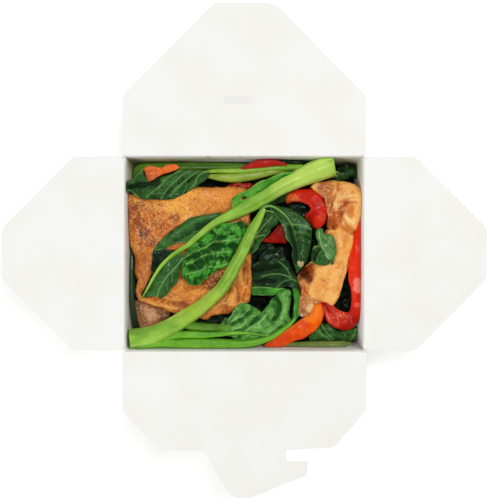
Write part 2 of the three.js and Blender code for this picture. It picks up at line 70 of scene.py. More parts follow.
class Wire:
    # a node's output that can stand in sums and products
    def __init__(self, graph, socket):
        self.graph, self.socket = graph, socket

    def maths(self, operation, *others):
        values = dict(enumerate([self, *others]))
        return self.graph.node("ShaderNodeMath", {"operation": operation}, values)

    def __add__(self, other):
        return self.maths("ADD", other)

    def __mul__(self, other):
        return self.maths("MULTIPLY", other)

    def __sub__(self, other):
        return self.maths("SUBTRACT", other)

    def __rsub__(self, other):
        return self.graph.node("ShaderNodeMath", {"operation": "SUBTRACT"}, {0: other, 1: self})

    def __truediv__(self, other):
        return self.maths("DIVIDE", other)

    def __abs__(self):
        return self.maths("ABSOLUTE")

    __radd__, __rmul__ = __add__, __mul__

    def step(self, start, end):
        # 0 up to start, 1 from end on, smooth between; start may be the higher one
        settings = {"interpolation_type": "SMOOTHSTEP"}
        if start < end:
            return self.graph.node("ShaderNodeMapRange", settings, {0: self, 1: start, 2: end})
        return 1 - self.graph.node("ShaderNodeMapRange", settings, {0: self, 1: end, 2: start})


class Graph:
    def __init__(self, tree):
        self.tree = tree

    def node(self, kind, settings=None, values=None, out=0):
        made = self.tree.nodes.new(kind)
        for name, value in (settings or {}).items():
            if name == "items":
                for itemKind, itemName in value:
                    made.capture_items.new(itemKind, itemName)
            else:
                setattr(made, name, value)
        for key, value in (values or {}).items():
            if isinstance(value, Wire):
                self.tree.links.new(value.socket, made.inputs[key])
            else:
                made.inputs[key].default_value = value
        found = made.outputs[out] if made.outputs else None
        return Wire(self, found)

    def other(self, wire, out):
        # another output of the node that a wire comes from
        return Wire(self, wire.socket.node.outputs[out])


class Shade(Graph):
    # a material's tree, around one Principled shader
    def __init__(self, name, **constants):
        self.material = bpy.data.materials.new(name)
        self.material.use_nodes = True
        super().__init__(self.material.node_tree)
        self.shader = self.tree.nodes["Principled BSDF"]
        for socket, value in constants.items():
            self.shader.inputs[socket.replace("_", " ")].default_value = value
        self.place = self.node("ShaderNodeTexCoord", out="Object")

    def feed(self, **wires):
        for socket, wire in wires.items():
            self.tree.links.new(wire.socket, self.shader.inputs[socket.replace("_", " ")])

    def uv(self):
        return self.node("ShaderNodeUVMap", {"uv_map": "UVMap"})

    def held(self, name):
        # a value that the mesh holds for each of its points
        return self.node("ShaderNodeAttribute", {"attribute_name": name}, out="Fac")

    def mix(self, factor, a, b):
        # three plain numbers are a screen colour
        a, b = (c if isinstance(c, Wire) else tint(*c) for c in (a, b))
        return self.node("ShaderNodeMix", {"data_type": "RGBA"}, {0: factor, 6: a, 7: b}, 2)

    def noise(self, scale, detail=3.0, roughness=0.55, distortion=0.0, at=None):
        values = {"Vector": at or self.place, "Scale": scale, "Detail": detail, "Roughness": roughness,
                  "Distortion": distortion}
        return self.node("ShaderNodeTexNoise", {}, values)

    def cells(self, scale):
        # 0 on the borders between cells
        return self.node("ShaderNodeTexVoronoi", {"feature": "DISTANCE_TO_EDGE"},
                         {"Vector": self.place, "Scale": scale})

    def bump(self, height, distance, strength=1.0):
        return self.node("ShaderNodeBump", {}, {"Strength": strength, "Distance": distance, "Height": height})

    def stretched(self, at, scale):
        return self.node("ShaderNodeMapping", {}, {"Vector": at, "Scale": scale})

    def split(self, wire):
        x = self.node("ShaderNodeSeparateXYZ", {}, {0: wire})
        return x, self.other(x, 1), self.other(x, 2)

    def grains(self, scale):
        # a number from 0 to 1 for each small cell
        cells = self.node("ShaderNodeTexVoronoi", {"feature": "F1"}, {"Vector": self.place, "Scale": scale})
        return self.split(self.other(cells, 1))[0]

    def patch(self, x, y, radius, ragged=0.5):
        # 1 at a spot of the camera's picture, 0 past the radius in pixels, with a ragged edge
        away = self.node("ShaderNodeVectorMath", {"operation": "SUBTRACT"},
                         {0: self.place, 1: [c * mm for c in seenSpot(x, y)]})
        flat = self.node("ShaderNodeVectorMath", {"operation": "MULTIPLY"}, {0: away, 1: (1, 1, 0)})
        length = self.node("ShaderNodeVectorMath", {"operation": "LENGTH"}, {0: flat}, "Value")
        wobble = (self.noise(260, 4, 0.6) - 0.5) * (2 * ragged)
        return (length / (radius * rimPixel * mm) + wobble).step(1.15, 0.55)

    def painted(self, colour, patches, ragged=0.5):
        for x, y, radius, strength, shade in patches:
            colour = self.mix(self.patch(x, y, radius, ragged) * strength, colour, shade)
        return colour


def tint(red, green, blue):
    # a screen colour, 0 to 255, as the linear colour that shaders take
    def linear(v):
        v /= 255
        return v / 12.92 if v <= 0.04045 else ((v + 0.055) / 1.055) ** 2.4
    return (linear(red), linear(green), linear(blue), 1.0)


def smoothPath(points, count):
    # evenly spaced points on a smooth curve through the given ones
    p = np.array(points, float)
    ends = np.vstack([2 * p[0] - p[1], p, 2 * p[-1] - p[-2]])
    t = np.linspace(0, 1, 24, endpoint=False)[:, None]
    spans = []
    for a, b, c, d in zip(ends, ends[1:], ends[2:], ends[3:]):
        spans.append(0.5 * (2 * b + (c - a) * t + (2 * a - 5 * b + 4 * c - d) * t**2
                            + (3 * b - a - 3 * c + d) * t**3))
    line = np.vstack([*spans, p[-1:]])
    run = np.r_[0, np.cumsum(np.linalg.norm(np.diff(line, axis=0), axis=1))]
    at = np.linspace(0, run[-1], count)
    return np.column_stack([np.interp(at, run, line[:, k]) for k in range(p.shape[1])])


def rough(points, size, octaves=3, seed=0.0):
    # noise from about -1 to 1 whose features have that size
    flat = points.reshape(-1, 3) / size + seed
    values = [noise.fractal(Vector(p), 0.9, 2.0, octaves) for p in flat]
    return np.array(values).reshape(points.shape[:-1])


def cellular(points, size, seed=0.0):
    # 0 in the seams between cells, up to about 1 in their middles
    flat = points.reshape(-1, 3) / size + seed
    values = []
    for p in flat:
        near = noise.voronoi(Vector(p))[0]
        values.append(near[1] - near[0])
    return np.array(values).reshape(points.shape[:-1])


def gridNormals(grid, wrap=False):
    along = np.gradient(grid, axis=0)
    if wrap:
        padded = np.concatenate([grid[:, -1:], grid, grid[:, :1]], axis=1)
        across = np.gradient(padded, axis=1)[:, 1:-1]
    else:
        across = np.gradient(grid, axis=1)
    normals = np.cross(along, across)
    return normals / np.maximum(np.linalg.norm(normals, axis=2, keepdims=True), 1e-9)


def quads(rows, columns, start=0, wrap=False):
    # faces between neighbouring rows of a grid of points
    faces = []
    for r in range(rows - 1):
        for c in range(columns if wrap else columns - 1):
            a, b = start + r * columns + c, start + r * columns + (c + 1) % columns
            faces.append((a, b, b + columns, a + columns))
    return faces


def newObject(name, data):
    piece = bpy.data.objects.new(name, data)
    bpy.context.scene.collection.objects.link(piece)
    return piece


def fanEnds(points, faces, count):
    # closes the first and the last ring of a tube round their middles
    last, middle = len(points) - count, len(points)
    faces += [((k + 1) % count, k, middle) for k in range(count)]
    faces += [(last + k, last + (k + 1) % count, middle + 1) for k in range(count)]
    return np.vstack([points, points[:count].mean(axis=0), points[-count:].mean(axis=0)])


def flatEnds(total, count):
    # one face for the first and one for the last ring of a tube
    return [tuple(range(count)), tuple(range(total - 1, total - count - 1, -1))]


def makePiece(name, points, faces, material, uv=None):
    mesh = bpy.data.meshes.new(name)
    mesh.from_pydata(np.asarray(points, float).reshape(-1, 3) * mm, [], faces)
    mesh.materials.append(material)
    if uv is not None:
        layer = mesh.uv_layers.new(name="UVMap")
        corners = np.zeros(len(mesh.loops), np.int32)
        mesh.loops.foreach_get("vertex_index", corners)
        layer.data.foreach_set("uv", np.asarray(uv, np.float32).reshape(-1, 2)[corners].ravel())
    shape = bmesh.new()
    shape.from_mesh(mesh)
    bmesh.ops.recalc_face_normals(shape, faces=shape.faces)
    shape.to_mesh(mesh)
    shape.free()
    mesh.shade_smooth()
    return newObject(name, mesh)


def plainMesh(piece):
    # the modifiers' result becomes the piece's own mesh
    graph = bpy.context.evaluated_depsgraph_get()
    made = bpy.data.meshes.new_from_object(
        piece.evaluated_get(graph), preserve_all_data_layers=True, depsgraph=graph)
    piece.modifiers.clear()
    piece.data = made
    return piece


def join(name, pieces):
    first = pieces[0]
    if len(pieces) > 1:
        with bpy.context.temp_override(active_object=first, object=first, selected_objects=pieces,
                                       selected_editable_objects=pieces):
            bpy.ops.object.join()
    first.name = first.data.name = name
    return first


def settle(piece, body, node):
    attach(piece, body)
    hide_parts(node)


def makeFood(name, node, parts):
    piece = join(name, parts)
    settle(piece, "box", node)
    print(name, "has", len(piece.data.polygons), "faces")


carton = {
    "baseHalf": (76.0, 60.25),
    "rimHalf": (85.75, 69.75),
    "height": 64.0,
    "board": 0.45,
    "cornerRadius": 1.4,
    "baseFold": 1.0,
    "wallBulge": 0.5,
    "rimTops": {"end": 61.85, "back": 62.55, "front": 63.25},
    "webWidth": 48.0,
    "webFoot": 2.0,
    "foodTop": 61.6,
}


def insideHalf(z):
    share = z / carton["height"]
    low, high = carton["baseHalf"], carton["rimHalf"]
    return low[0] + (high[0] - low[0]) * share, low[1] + (high[1] - low[1]) * share


def keepInside(points, gap=0.35, ceiling=carton["foodTop"]):
    # food stays within the walls and under the closed flaps
    points[..., 2] = np.minimum(points[..., 2], ceiling)
    halfX, halfY = insideHalf(points[..., 2])
    points[..., 0] = np.clip(points[..., 0], gap - halfX, halfX - gap)
    points[..., 1] = np.clip(points[..., 1], gap - halfY, halfY - gap)
    return points


def paperMaterial():
    g = Shade("paperboard", Roughness=0.62, Specular_IOR_Level=0.3)
    fibres = g.noise(900, 5, 0.65, at=g.stretched(g.place, (1, 0.55, 1)))
    cloud = g.noise(28, 3, 0.5)
    colour = g.mix(cloud.step(0.35, 0.75), (243, 243, 239), (240, 239, 233))
    colour = g.mix(fibres.step(0.62, 0.8) * 0.3, colour, (228, 226, 218))
    # steam and sauce have stained the inside, up to a little over the food; this greenish stain, stronger on
    # the left and back walls, is also painted shade and a painted reflection of the greens
    x, y, z = g.split(g.place)
    slopeX, footX, slopeY, footY = 0.1523, 0.0762, 0.1484, 0.06045  # of the middle of the walls' board
    halfX, halfY = abs(x) / (z * slopeX + footX), abs(y) / (z * slopeY + footY)
    inside = halfX.maths("MAXIMUM", halfY).step(1.0035, 1.0005) * (halfX + halfY).step(1.995, 1.991)
    level = z + (g.noise(70, 4, 0.6) - 0.5) * 0.014
    stainAndShade = inside * level.step(0.0585, 0.05)
    wall = x.step(0.03, -0.06) * 0.3 + y.step(0.05, 0.066) * 0.45 + 0.1
    colour = g.mix(stainAndShade * wall, colour, (168, 168, 112))
    splash = inside * g.noise(120, 4, 0.65).step(0.56, 0.7) * level.step(0.066, 0.055)
    colour = g.mix(splash * wall, colour, (172, 140, 96))
    height = fibres * 0.6 + cloud * 0.4
    g.feed(Base_Color=colour, Roughness=0.6 - stainAndShade * 0.25, Normal=g.bump(height, 0.00012, 0.5))
    return g.material


# patches give x, y and radius in pixels of the camera's picture, strength, and colour
leafLook = {"sideVeins": 0.15, "netStrength": 0.05, "veinStrength": 0.85, "relief": 0.75, "wet": 0.7,
            "patches": []}


def leafMaterial(name, look):
    # uv across is 0.5 at the rib, uv along counts the side veins; "vein" is 1 on the main veins and
    # "rise" is -1 in the hollows and 1 on the ridges
    look = {**leafLook, **look}
    g = Shade(name, Specular_IOR_Level=0.12, Coat_Roughness=0.2)
    across, along, _ = g.split(g.uv())
    aside = abs(across - 0.5) * 2
    toVein = abs((along + 0.5).maths("FRACT") - 0.5)
    vein = (toVein / ((1.2 - aside) * 0.07)).step(1.0, 0.2) * look["sideVeins"]
    vein, rise = vein.maths("MAXIMUM", g.held("vein")), g.held("rise")
    net = g.cells(620).step(0.09, 0.0)
    patches = g.noise(95, 4, 0.6)
    # the ridges lean to the fresh colour: painted light on the crinkles
    colour = g.mix((patches * 0.6 + rise * 0.25 + 0.2).step(0.3, 0.7), look["deep"], look["fresh"])
    colour = g.mix(g.noise(420, 3, 0.6).step(0.5, 0.75) * 0.3, colour, look["fresh"])
    colour = g.mix(net * look["netStrength"], colour, look["vein"])
    colour = g.mix(vein * look["veinStrength"], colour, look["vein"])
    colour = g.painted(colour, look["patches"])
    # painted shade in the hollows of the crinkles
    colour = g.mix(rise.step(-0.1, -1.0) * 0.6, colour, look["hollowShade"])
    wrinkles = g.noise(700, 3, 0.6) * 0.4 - net * 0.25 - vein * 0.4 + g.noise(180, 2, 0.5) * 0.8
    wet = (g.noise(240, 3, 0.6) * 0.75 + rise * 0.16).step(0.34, 0.52)
    g.feed(Base_Color=colour, Roughness=0.42 + g.noise(300, 2) * 0.2, Coat_Weight=wet * look["wet"],
           Normal=g.bump(wrinkles, 0.0007, look["relief"]))
    return g.material


stemLook = {"streaks": 22, "lines": 0.28, "relief": 0.6, "wet": 0.5, "patches": []}


def stemMaterial(name, look):
    # uv across goes round the stem, uv along is the length in centimetres
    look = {**stemLook, **look}
    g = Shade(name, Specular_IOR_Level=0.2, Coat_Roughness=0.22)
    uv = g.uv()
    streaks = g.noise(1.0, 4, 0.6, at=g.stretched(uv, (look["streaks"], 0.4, 1)))
    broad = g.noise(1.0, 2, 0.5, at=g.stretched(uv, (4, 0.3, 1)))
    spots, mottle = g.noise(260, 3, 0.6), g.noise(70, 3, 0.6)
    colour = g.mix((broad * 0.6 + mottle * 0.4).step(0.36, 0.64), look["deep"], look["fresh"])
    colour = g.painted(colour, look["patches"], 0.25)
    colour = g.mix(streaks.step(0.52, 0.72) * look["lines"], colour, look["light"])
    colour = g.mix(streaks.step(0.46, 0.3) * look["lines"], colour, look["deep"])
    colour = g.mix(spots.step(0.55, 0.75) * 0.2, colour, look["deep"])
    height = streaks * 0.5 + spots * 0.35 + mottle * 0.8
    g.feed(Base_Color=colour, Roughness=0.38 + spots * 0.2,
           Coat_Weight=g.noise(90, 3, 0.6).step(0.42, 0.6) * look["wet"],
           Normal=g.bump(height, 0.0005, look["relief"]))
    return g.material


tofuLook = {"crisp": 0.3, "speckle": 1.0, "hollows": 0.5, "wet": 0.6, "patches": [], "rough": [], "caramel": []}


def tofuMaterial(name, look):
    # "rise" is -1 in the hollows of the crust and 1 on its ridges; "glazeAndPaintedLight" is 1 on pale lines,
    # which are partly painted highlights, and -1 on dark ones, which are glaze and painted shade
    look = {**tofuLook, **look}
    g = Shade(name, Specular_IOR_Level=0.1, Coat_Roughness=0.12)
    _, _, z = g.split(g.place)
    rise, drawn = g.held("rise"), g.held("glazeAndPaintedLight")
    broad, mid, fine = g.noise(75, 4, 0.6, 0.4), g.noise(330, 4, 0.65, 0.3), g.noise(1500, 3, 0.6)
    grain, coarse = g.grains(1150), g.grains(520)
    # the ridges lean golden: partly painted light on the crust
    colour = g.mix((broad * 0.75 + rise * 0.12 + 0.12).step(0.33, 0.66), look["brown"], look["golden"])
    colour = g.mix(mid.step(0.48, 0.68) * 0.5, colour, look["pale"])
    colour = g.mix(mid.step(0.46, 0.3) * 0.4, colour, look["brown"])
    colour = g.painted(colour, look["patches"])
    crisp = look["crisp"]
    for spot in look["rough"]:
        crisp = g.patch(*spot) * 0.35 + crisp
    crust = fine * 0.7 + mid * 0.15 + grain * 0.15
    swirl = g.noise(210, 4, 0.62, 1.4)
    colour = g.mix((swirl.step(0.52, 0.66) * crisp).maths("MINIMUM", 0.7), colour, look["peak"])
    colour = g.mix((swirl.step(0.45, 0.34) * crisp).maths("MINIMUM", 0.7), colour, look["pit"])
    speckle = crisp * look["speckle"]
    colour = g.mix((crust.step(0.5, 0.62) * speckle).maths("MINIMUM", 0.6), colour, look["peak"])
    colour = g.mix((crust.step(0.46, 0.36) * speckle).maths("MINIMUM", 0.65), colour, look["pit"])
    burns = coarse.step(0.14, 0.06) * mid.step(0.44, 0.56) * crisp
    colour = g.mix(burns.maths("MINIMUM", 0.6), colour, look["burnt"])
    # painted shade in the crust's hollows
    colour = g.mix(rise.step(-0.25, -1.0) * look["hollows"], colour, look["pit"])
    side = z.step(look["edgeTop"] * mm, look["edgeFoot"] * mm)
    colour = g.mix(side * 0.75, colour, look["side"])
    wet = g.noise(160, 4, 0.65).step(0.46, 0.58) * look["wet"]
    # pale lines, partly painted highlights, and dark lines of glaze and painted shade
    colour = g.mix(drawn.maths("MAXIMUM", 0.0) * 0.75, colour, look["peak"])
    colour = g.mix((drawn * -0.85).maths("MAXIMUM", 0.0), colour, look["glazeAndPaintedLight"])
    for x, y, radius, strength, shade in look["caramel"]:
        burnt = g.patch(x, y, radius, 0.35) * strength
        colour = g.mix(burnt, colour, shade)
        wet = wet * (1 - burnt * 0.6)
    height = fine * 0.4 + mid * 0.9 + grain * 0.25
    g.feed(Base_Color=colour, Roughness=0.45 + mid * 0.25, Coat_Weight=wet, Normal=g.bump(height, 0.0009, 0.8))
    return g.material


def pepperMaterial(name, look):
    # uv across is 0 at the skin's edge, 0.25 on top and 0.5 at the cut edge
    g = Shade(name, Specular_IOR_Level=0.1, Coat_Roughness=0.16)
    across, _, _ = g.split(g.uv())
    mottle, fine = g.noise(120, 3, 0.55), g.noise(800, 3, 0.6)
    wander = (g.noise(200, 3) - 0.5) * 0.08
    cut = (across + wander).step(0.32, 0.42) * (across + wander).step(0.72, 0.62)
    colour = g.mix(mottle.step(0.35, 0.7), look["deep"], look["bright"])
    colour = g.painted(colour, look["patches"])
    colour = g.mix(cut * 0.6, colour, look["flesh"])
    colour = g.mix(cut * fine.step(0.52, 0.66) * 0.7, colour, look["edge"])
    speckled = 0.0
    for spot in look["rough"]:
        speckled = g.patch(*spot) + speckled
        colour = g.mix(g.patch(*spot) * fine.step(0.48, 0.64) * 0.6, colour, look["edge"])
    g.feed(Base_Color=colour, Roughness=0.26 + cut * 0.2 + fine * 0.1,
           Coat_Weight=g.noise(110, 3).step(0.5, 0.6) * 0.35,
           Normal=g.bump(fine * (cut * 0.7 + speckled + 0.06) + mottle * 0.5, 0.0004, 0.55))
    return g.material


def bedMaterial():
    g = Shade("darkGreens", Specular_IOR_Level=0.08)
    patches, fine = g.noise(150, 4, 0.6), g.noise(600, 3)
    # nearly black: the greens' own dark colour and painted shade between the pieces
    colour = g.mix(patches.step(0.35, 0.7), (3, 6, 3), (9, 24, 9))
    colour = g.mix(g.cells(380).step(0.06, 0.0) * 0.2, colour, (34, 60, 26))
    g.feed(Base_Color=colour, Roughness=0.4 + fine * 0.3, Normal=g.bump(patches + fine * 0.4, 0.0007, 0.8))
    return g.material


def softBitMaterial(name, light, dark, scale, relief=0.4):
    g = Shade(name, Specular_IOR_Level=0.2, Coat_Roughness=0.2, Coat_Weight=0.2)
    mottle, fine = g.noise(scale, 4, 0.6), g.noise(scale * 3.5, 3, 0.6)
    colour = g.mix(mottle.step(0.35, 0.68), dark, light)
    colour = g.mix(fine.step(0.58, 0.75) * 0.4, colour, light)
    g.feed(Base_Color=colour, Roughness=0.35 + fine * 0.25, Normal=g.bump(mottle + fine * 0.5, 0.0004, relief))
    return g.material


paper = paperMaterial()
palestStemAndSheen, palerStemAndSheen = (190, 218, 96), (168, 196, 60)
stemLooks = {
    "brightStem": {
        "fresh": (152, 198, 72), "deep": (112, 160, 42), "light": (198, 224, 124), "lines": 0.45,
        "wet": 0.6, "relief": 0.8,
        # these patches make stretches of the stems paler: partly their paler colour, partly a painted highlight
        # along the middle
        "patches": [(310, 174, 26, 0.8, palestStemAndSheen), (284, 187, 16, 0.5, palestStemAndSheen),
            (204, 302, 22, 0.6, palerStemAndSheen), (186, 315, 14, 0.4, palerStemAndSheen)]},
    "oliveStem": {
        "fresh": (152, 174, 62), "deep": (116, 140, 36), "light": (180, 198, 96)},
    "greenStem": {
        "fresh": (122, 140, 66), "deep": (84, 106, 36), "light": (160, 176, 104)},
    "limeStem": {
        "fresh": (146, 188, 60), "deep": (108, 156, 36), "light": (178, 208, 98)},
    "freshStem": {
        "fresh": (120, 184, 44), "deep": (72, 142, 22), "light": (160, 208, 84)},
    "deepStem": {
        "fresh": (104, 154, 40), "deep": (60, 106, 20), "light": (132, 172, 66)},
    # stems low along the walls, with painted shade in their colours
    "darkStem": {
        "fresh": (36, 70, 24), "deep": (16, 38, 10), "light": (62, 98, 44)},
    "leafRib": {
        "fresh": (124, 172, 84), "deep": (82, 136, 46), "light": (166, 204, 126), "relief": 0.3},
}
leafLooks = {
    "darkLeaf": {
        "deep": (14, 50, 14), "fresh": (50, 104, 38), "vein": (128, 176, 92), "hollowShade": (4, 20, 6),
            "sideVeins": 0.3,
        # the first patch paints shade on the leaf's lower part, the second a highlight on its upper part
        "patches": [(301, 248, 15, 0.7, (16, 52, 14)), (303, 228, 6, 0.4, (112, 156, 110))]},
    "smoothLeaf": {
        "deep": (26, 68, 24), "fresh": (58, 112, 46), "vein": (126, 172, 96),
        "hollowShade": (8, 30, 10), "sideVeins": 0.1, "relief": 0.6, "wet": 1.0},
    "veinedLeaf": {
        "deep": (12, 76, 10), "fresh": (72, 166, 44), "vein": (150, 202, 106),
        "hollowShade": (12, 54, 10), "netStrength": 0.06, "veinStrength": 0.75},
    "shootLeaf": {
        "deep": (38, 100, 28), "fresh": (106, 174, 72), "vein": (172, 216, 132),
        "hollowShade": (14, 60, 16), "netStrength": 0.04, "veinStrength": 0.8},
    "paleLeaf": {
        "deep": (46, 96, 36), "fresh": (96, 144, 74), "vein": (160, 200, 130),
        "hollowShade": (16, 50, 18), "netStrength": 0.06, "relief": 0.5},
    "brightLeaf": {
        "deep": (48, 124, 26), "fresh": (96, 172, 54), "vein": (150, 204, 88),
        "hollowShade": (24, 84, 14), "netStrength": 0.06, "relief": 0.5},
    # dark leaves deep in the heap, with painted shade in their colours
    "innerLeaf": {
        "deep": (6, 30, 8), "fresh": (26, 72, 22), "vein": (104, 152, 76), "hollowShade": (2, 12, 4),
        "sideVeins": 0.12, "netStrength": 0.04},
    "shadedLeaf": {
        "deep": (3, 16, 6), "fresh": (14, 46, 18), "vein": (66, 104, 60), "hollowShade": (1, 7, 3),
        "sideVeins": 0.12, "wet": 1.0},
}
materials = {name: stemMaterial(name, look) for name, look in stemLooks.items()}
materials |= {name: leafMaterial(name, look) for name, look in leafLooks.items()}
print("materials ready")


stemSettings = {
    "sides": 40,
    "rings": 110,
    "ribs": 7,
    "ribDepth": 0.02,
    "flatness": 0.9,
    "unevenness": 0.10,
    "lumpSize": 160.0,
    "thinnest": 0.15,
    "top": 61.4,
}


def newTree(name, inputs):
    # a node group's graph, its geometry and its other inputs
    tree = bpy.data.node_groups.new(name, "GeometryNodeTree")
    for label, kind in {"Geometry": "Geometry", **inputs}.items():
        tree.interface.new_socket(label, in_out="INPUT", socket_type="NodeSocket" + kind)
    tree.interface.new_socket("Geometry", in_out="OUTPUT", socket_type="NodeSocketGeometry")
    g = Graph(tree)
    start = g.node("NodeGroupInput", out="Geometry")
    return g, start, *(g.other(start, label) for label in inputs)


def finishTree(g, made, material):
    made = g.node("GeometryNodeRealizeInstances", {}, {0: made})
    made = g.node("GeometryNodeSetMaterial", {}, {0: made, "Material": material})
    g.node("NodeGroupOutput", {}, {0: made})
    return g.tree


def stemTree():
    # sweeps a ribbed ring along a line of points that hold their own half width
    g, line, sides, ribs, depth, flat, uneven, lumps, material = newTree("stem", {
        "Sides": "Int", "Ribs": "Int", "Rib Depth": "Float", "Flatness": "Float", "Unevenness": "Float",
        "Lump Size": "Float", "Material": "Material"})
    curve = g.node("GeometryNodeMeshToCurve", {}, {0: line})
    curve = g.node("GeometryNodeSetCurveNormal", {"mode": "Z_UP"}, {0: curve})
    parameter = g.node("GeometryNodeSplineParameter", out="Length")
    curve = g.node("GeometryNodeCaptureAttribute", {"items": [("FLOAT", "along")]}, {0: curve, 1: parameter})
    along = g.other(curve, 1)
    ring = g.node("GeometryNodeCurvePrimitiveCircle", {}, {"Resolution": sides, "Radius": 1.0})
    factor = g.node("GeometryNodeSplineParameter", out="Factor")
    ring = g.node("GeometryNodeCaptureAttribute", {"items": [("FLOAT", "around")]}, {0: ring, 1: factor})
    around = g.other(ring, 1)
    swell = (factor * ribs * (2 * math.pi)).maths("SINE") * depth + 1.0
    x = g.node("ShaderNodeSeparateXYZ", {}, {0: g.node("GeometryNodeInputPosition")})
    y = g.other(x, 1)
    spot = g.node("ShaderNodeCombineXYZ", {}, {0: x * swell, 1: y * swell * flat})
    ring = g.node("GeometryNodeSetPosition", {}, {"Geometry": ring, "Position": spot})
    thick = g.node("GeometryNodeInputNamedAttribute", {"data_type": "FLOAT"}, {"Name": "thick"})
    body = g.node("GeometryNodeCurveToMesh", {}, {0: curve, 1: ring, "Scale": thick, "Fill Caps": True})
    bumps = g.node("ShaderNodeTexNoise", {}, {"Scale": lumps, "Detail": 2.0}) - 0.5
    normal = g.node("GeometryNodeInputNormal")
    offset = g.node("ShaderNodeVectorMath", {"operation": "SCALE"},
                    {0: normal, "Scale": bumps * uneven * thick * 2.0})
    body = g.node("GeometryNodeSetPosition", {}, {"Geometry": body, "Offset": offset})
    uv = g.node("ShaderNodeCombineXYZ", {}, {0: around, 1: along * 100.0})
    body = g.node("GeometryNodeStoreNamedAttribute", {"data_type": "FLOAT2", "domain": "CORNER"},
                  {"Geometry": body, "Name": "UVMap", "Value": uv})
    return finishTree(g, g.node("GeometryNodeSetShadeSmooth", {}, {0: body}), material)


stemGroup = stemTree()


def addNodes(piece, tree, **inputs):
    modifier = piece.modifiers.new(tree.name, "NODES")
    modifier.node_group = tree
    names = {item.name: item.identifier for item in tree.interface.items_tree if item.in_out == "INPUT"}
    for label, value in inputs.items():
        modifier[names[label.replace("_", " ")]] = value
    return piece


def makeStem(name, stem, material):
    s = {**stemSettings, **stem}
    rings = s["rings"]
    line = s["path"] if "path" in s else seen([p[:3] for p in s["line"]])
    radii = s["radii"] if "radii" in s else [p[3] for p in s["line"]]
    joined = smoothPath([(*p, r) for p, r in zip(line, radii)], rings)
    path, thick = keepInside(joined[:, :3]), np.maximum(joined[:, 3], s["thinnest"])
    path[:, 2] -= np.maximum(0, path[:, 2] + s["flatness"] * thick - s["top"])
    mesh = bpy.data.meshes.new(name)
    mesh.from_pydata(path * mm, [(i, i + 1) for i in range(rings - 1)], [])
    mesh.attributes.new("thick", "FLOAT", "POINT").data.foreach_set("value", thick * mm)
    piece = newObject(name, mesh)
    addNodes(piece, stemGroup, Sides=s["sides"], Ribs=s["ribs"], Rib_Depth=s["ribDepth"],
             Flatness=s["flatness"], Unevenness=s["unevenness"], Lump_Size=s["lumpSize"], Material=material)
    plainMesh(piece)
    points = meshPoints(piece)
    if "cut" in s:
        # a slanting cut: the end is pulled along the stem, more to one side than the other
        turn, pull, reach = s["cut"]
        axis = path[0] - path[6]  # the direction at the cut end
        axis /= np.linalg.norm(axis)
        side = np.array([math.cos(turn), math.sin(turn), 0.0])
        away = points - path[0]
        near = np.clip(1 + (away @ axis) / reach, 0, 1)
        points += axis * (near * pull * (away @ side) / thick[0])[:, None]
    setPoints(piece, keepInside(points, gap=0.3))
    return piece


def meshPoints(piece):
    points = np.zeros(len(piece.data.vertices) * 3)
    piece.data.vertices.foreach_get("co", points)
    return points.reshape(-1, 3) / mm


def setPoints(piece, points):
    piece.data.vertices.foreach_set("co", (points * mm).ravel())
    piece.data.update()


def addValues(piece, name, values):
    layer = piece.data.attributes.new(name, "FLOAT", "POINT")
    layer.data.foreach_set("value", values.astype(np.float32))


def lineDistance(grid, line, steps=50):
    # pixels between each point of a grid and a line in the camera's picture
    flat = pixels(grid)[..., None, :]
    path = smoothPath(line, steps)
    return np.linalg.norm(flat - path, axis=-1).min(axis=-1)


def foldLift(grid, folds):
    # ridges and valleys along lines: height in mm, half width in pixels
    lift = np.zeros(grid.shape[:-1])
    for height, width, line in folds:
        lift += height * np.exp(-((lineDistance(grid, line) / width) ** 2))
    return lift


def drawnLines(grid, lines, scale=1.0):
    # strength, half width in pixels and points of each line; a strength below 0 makes a dark one
    drawn = np.zeros(grid.shape[:-1])
    for strength, width, line in lines:
        near = strength * np.exp(-((lineDistance(grid, line) / (width * scale)) ** 2))
        drawn = np.where(np.abs(near) > np.abs(drawn), near, drawn)
    return drawn


bladeSettings = {
    "grid": (110, 56),
    "thickness": 0.5,
    "veins": 8,
    "slant": 0.28,
    "quilt": 0.4,
    "ruffle": 0.5,
    "waves": 3.0,
    "crinkle": 0.5,
    "ragged": 0.05,
    "belly": 0.6,
    "veinRise": 0.2,
    "veinWidth": 0.78,
    "warpSize": 16.0,
    "crinkleSize": 5.5,
    "puckerSize": 4.2,
    "plain": False,  # True where the edges are given in mm
    "folds": [],
    "lines": [],
    "holes": [],
}


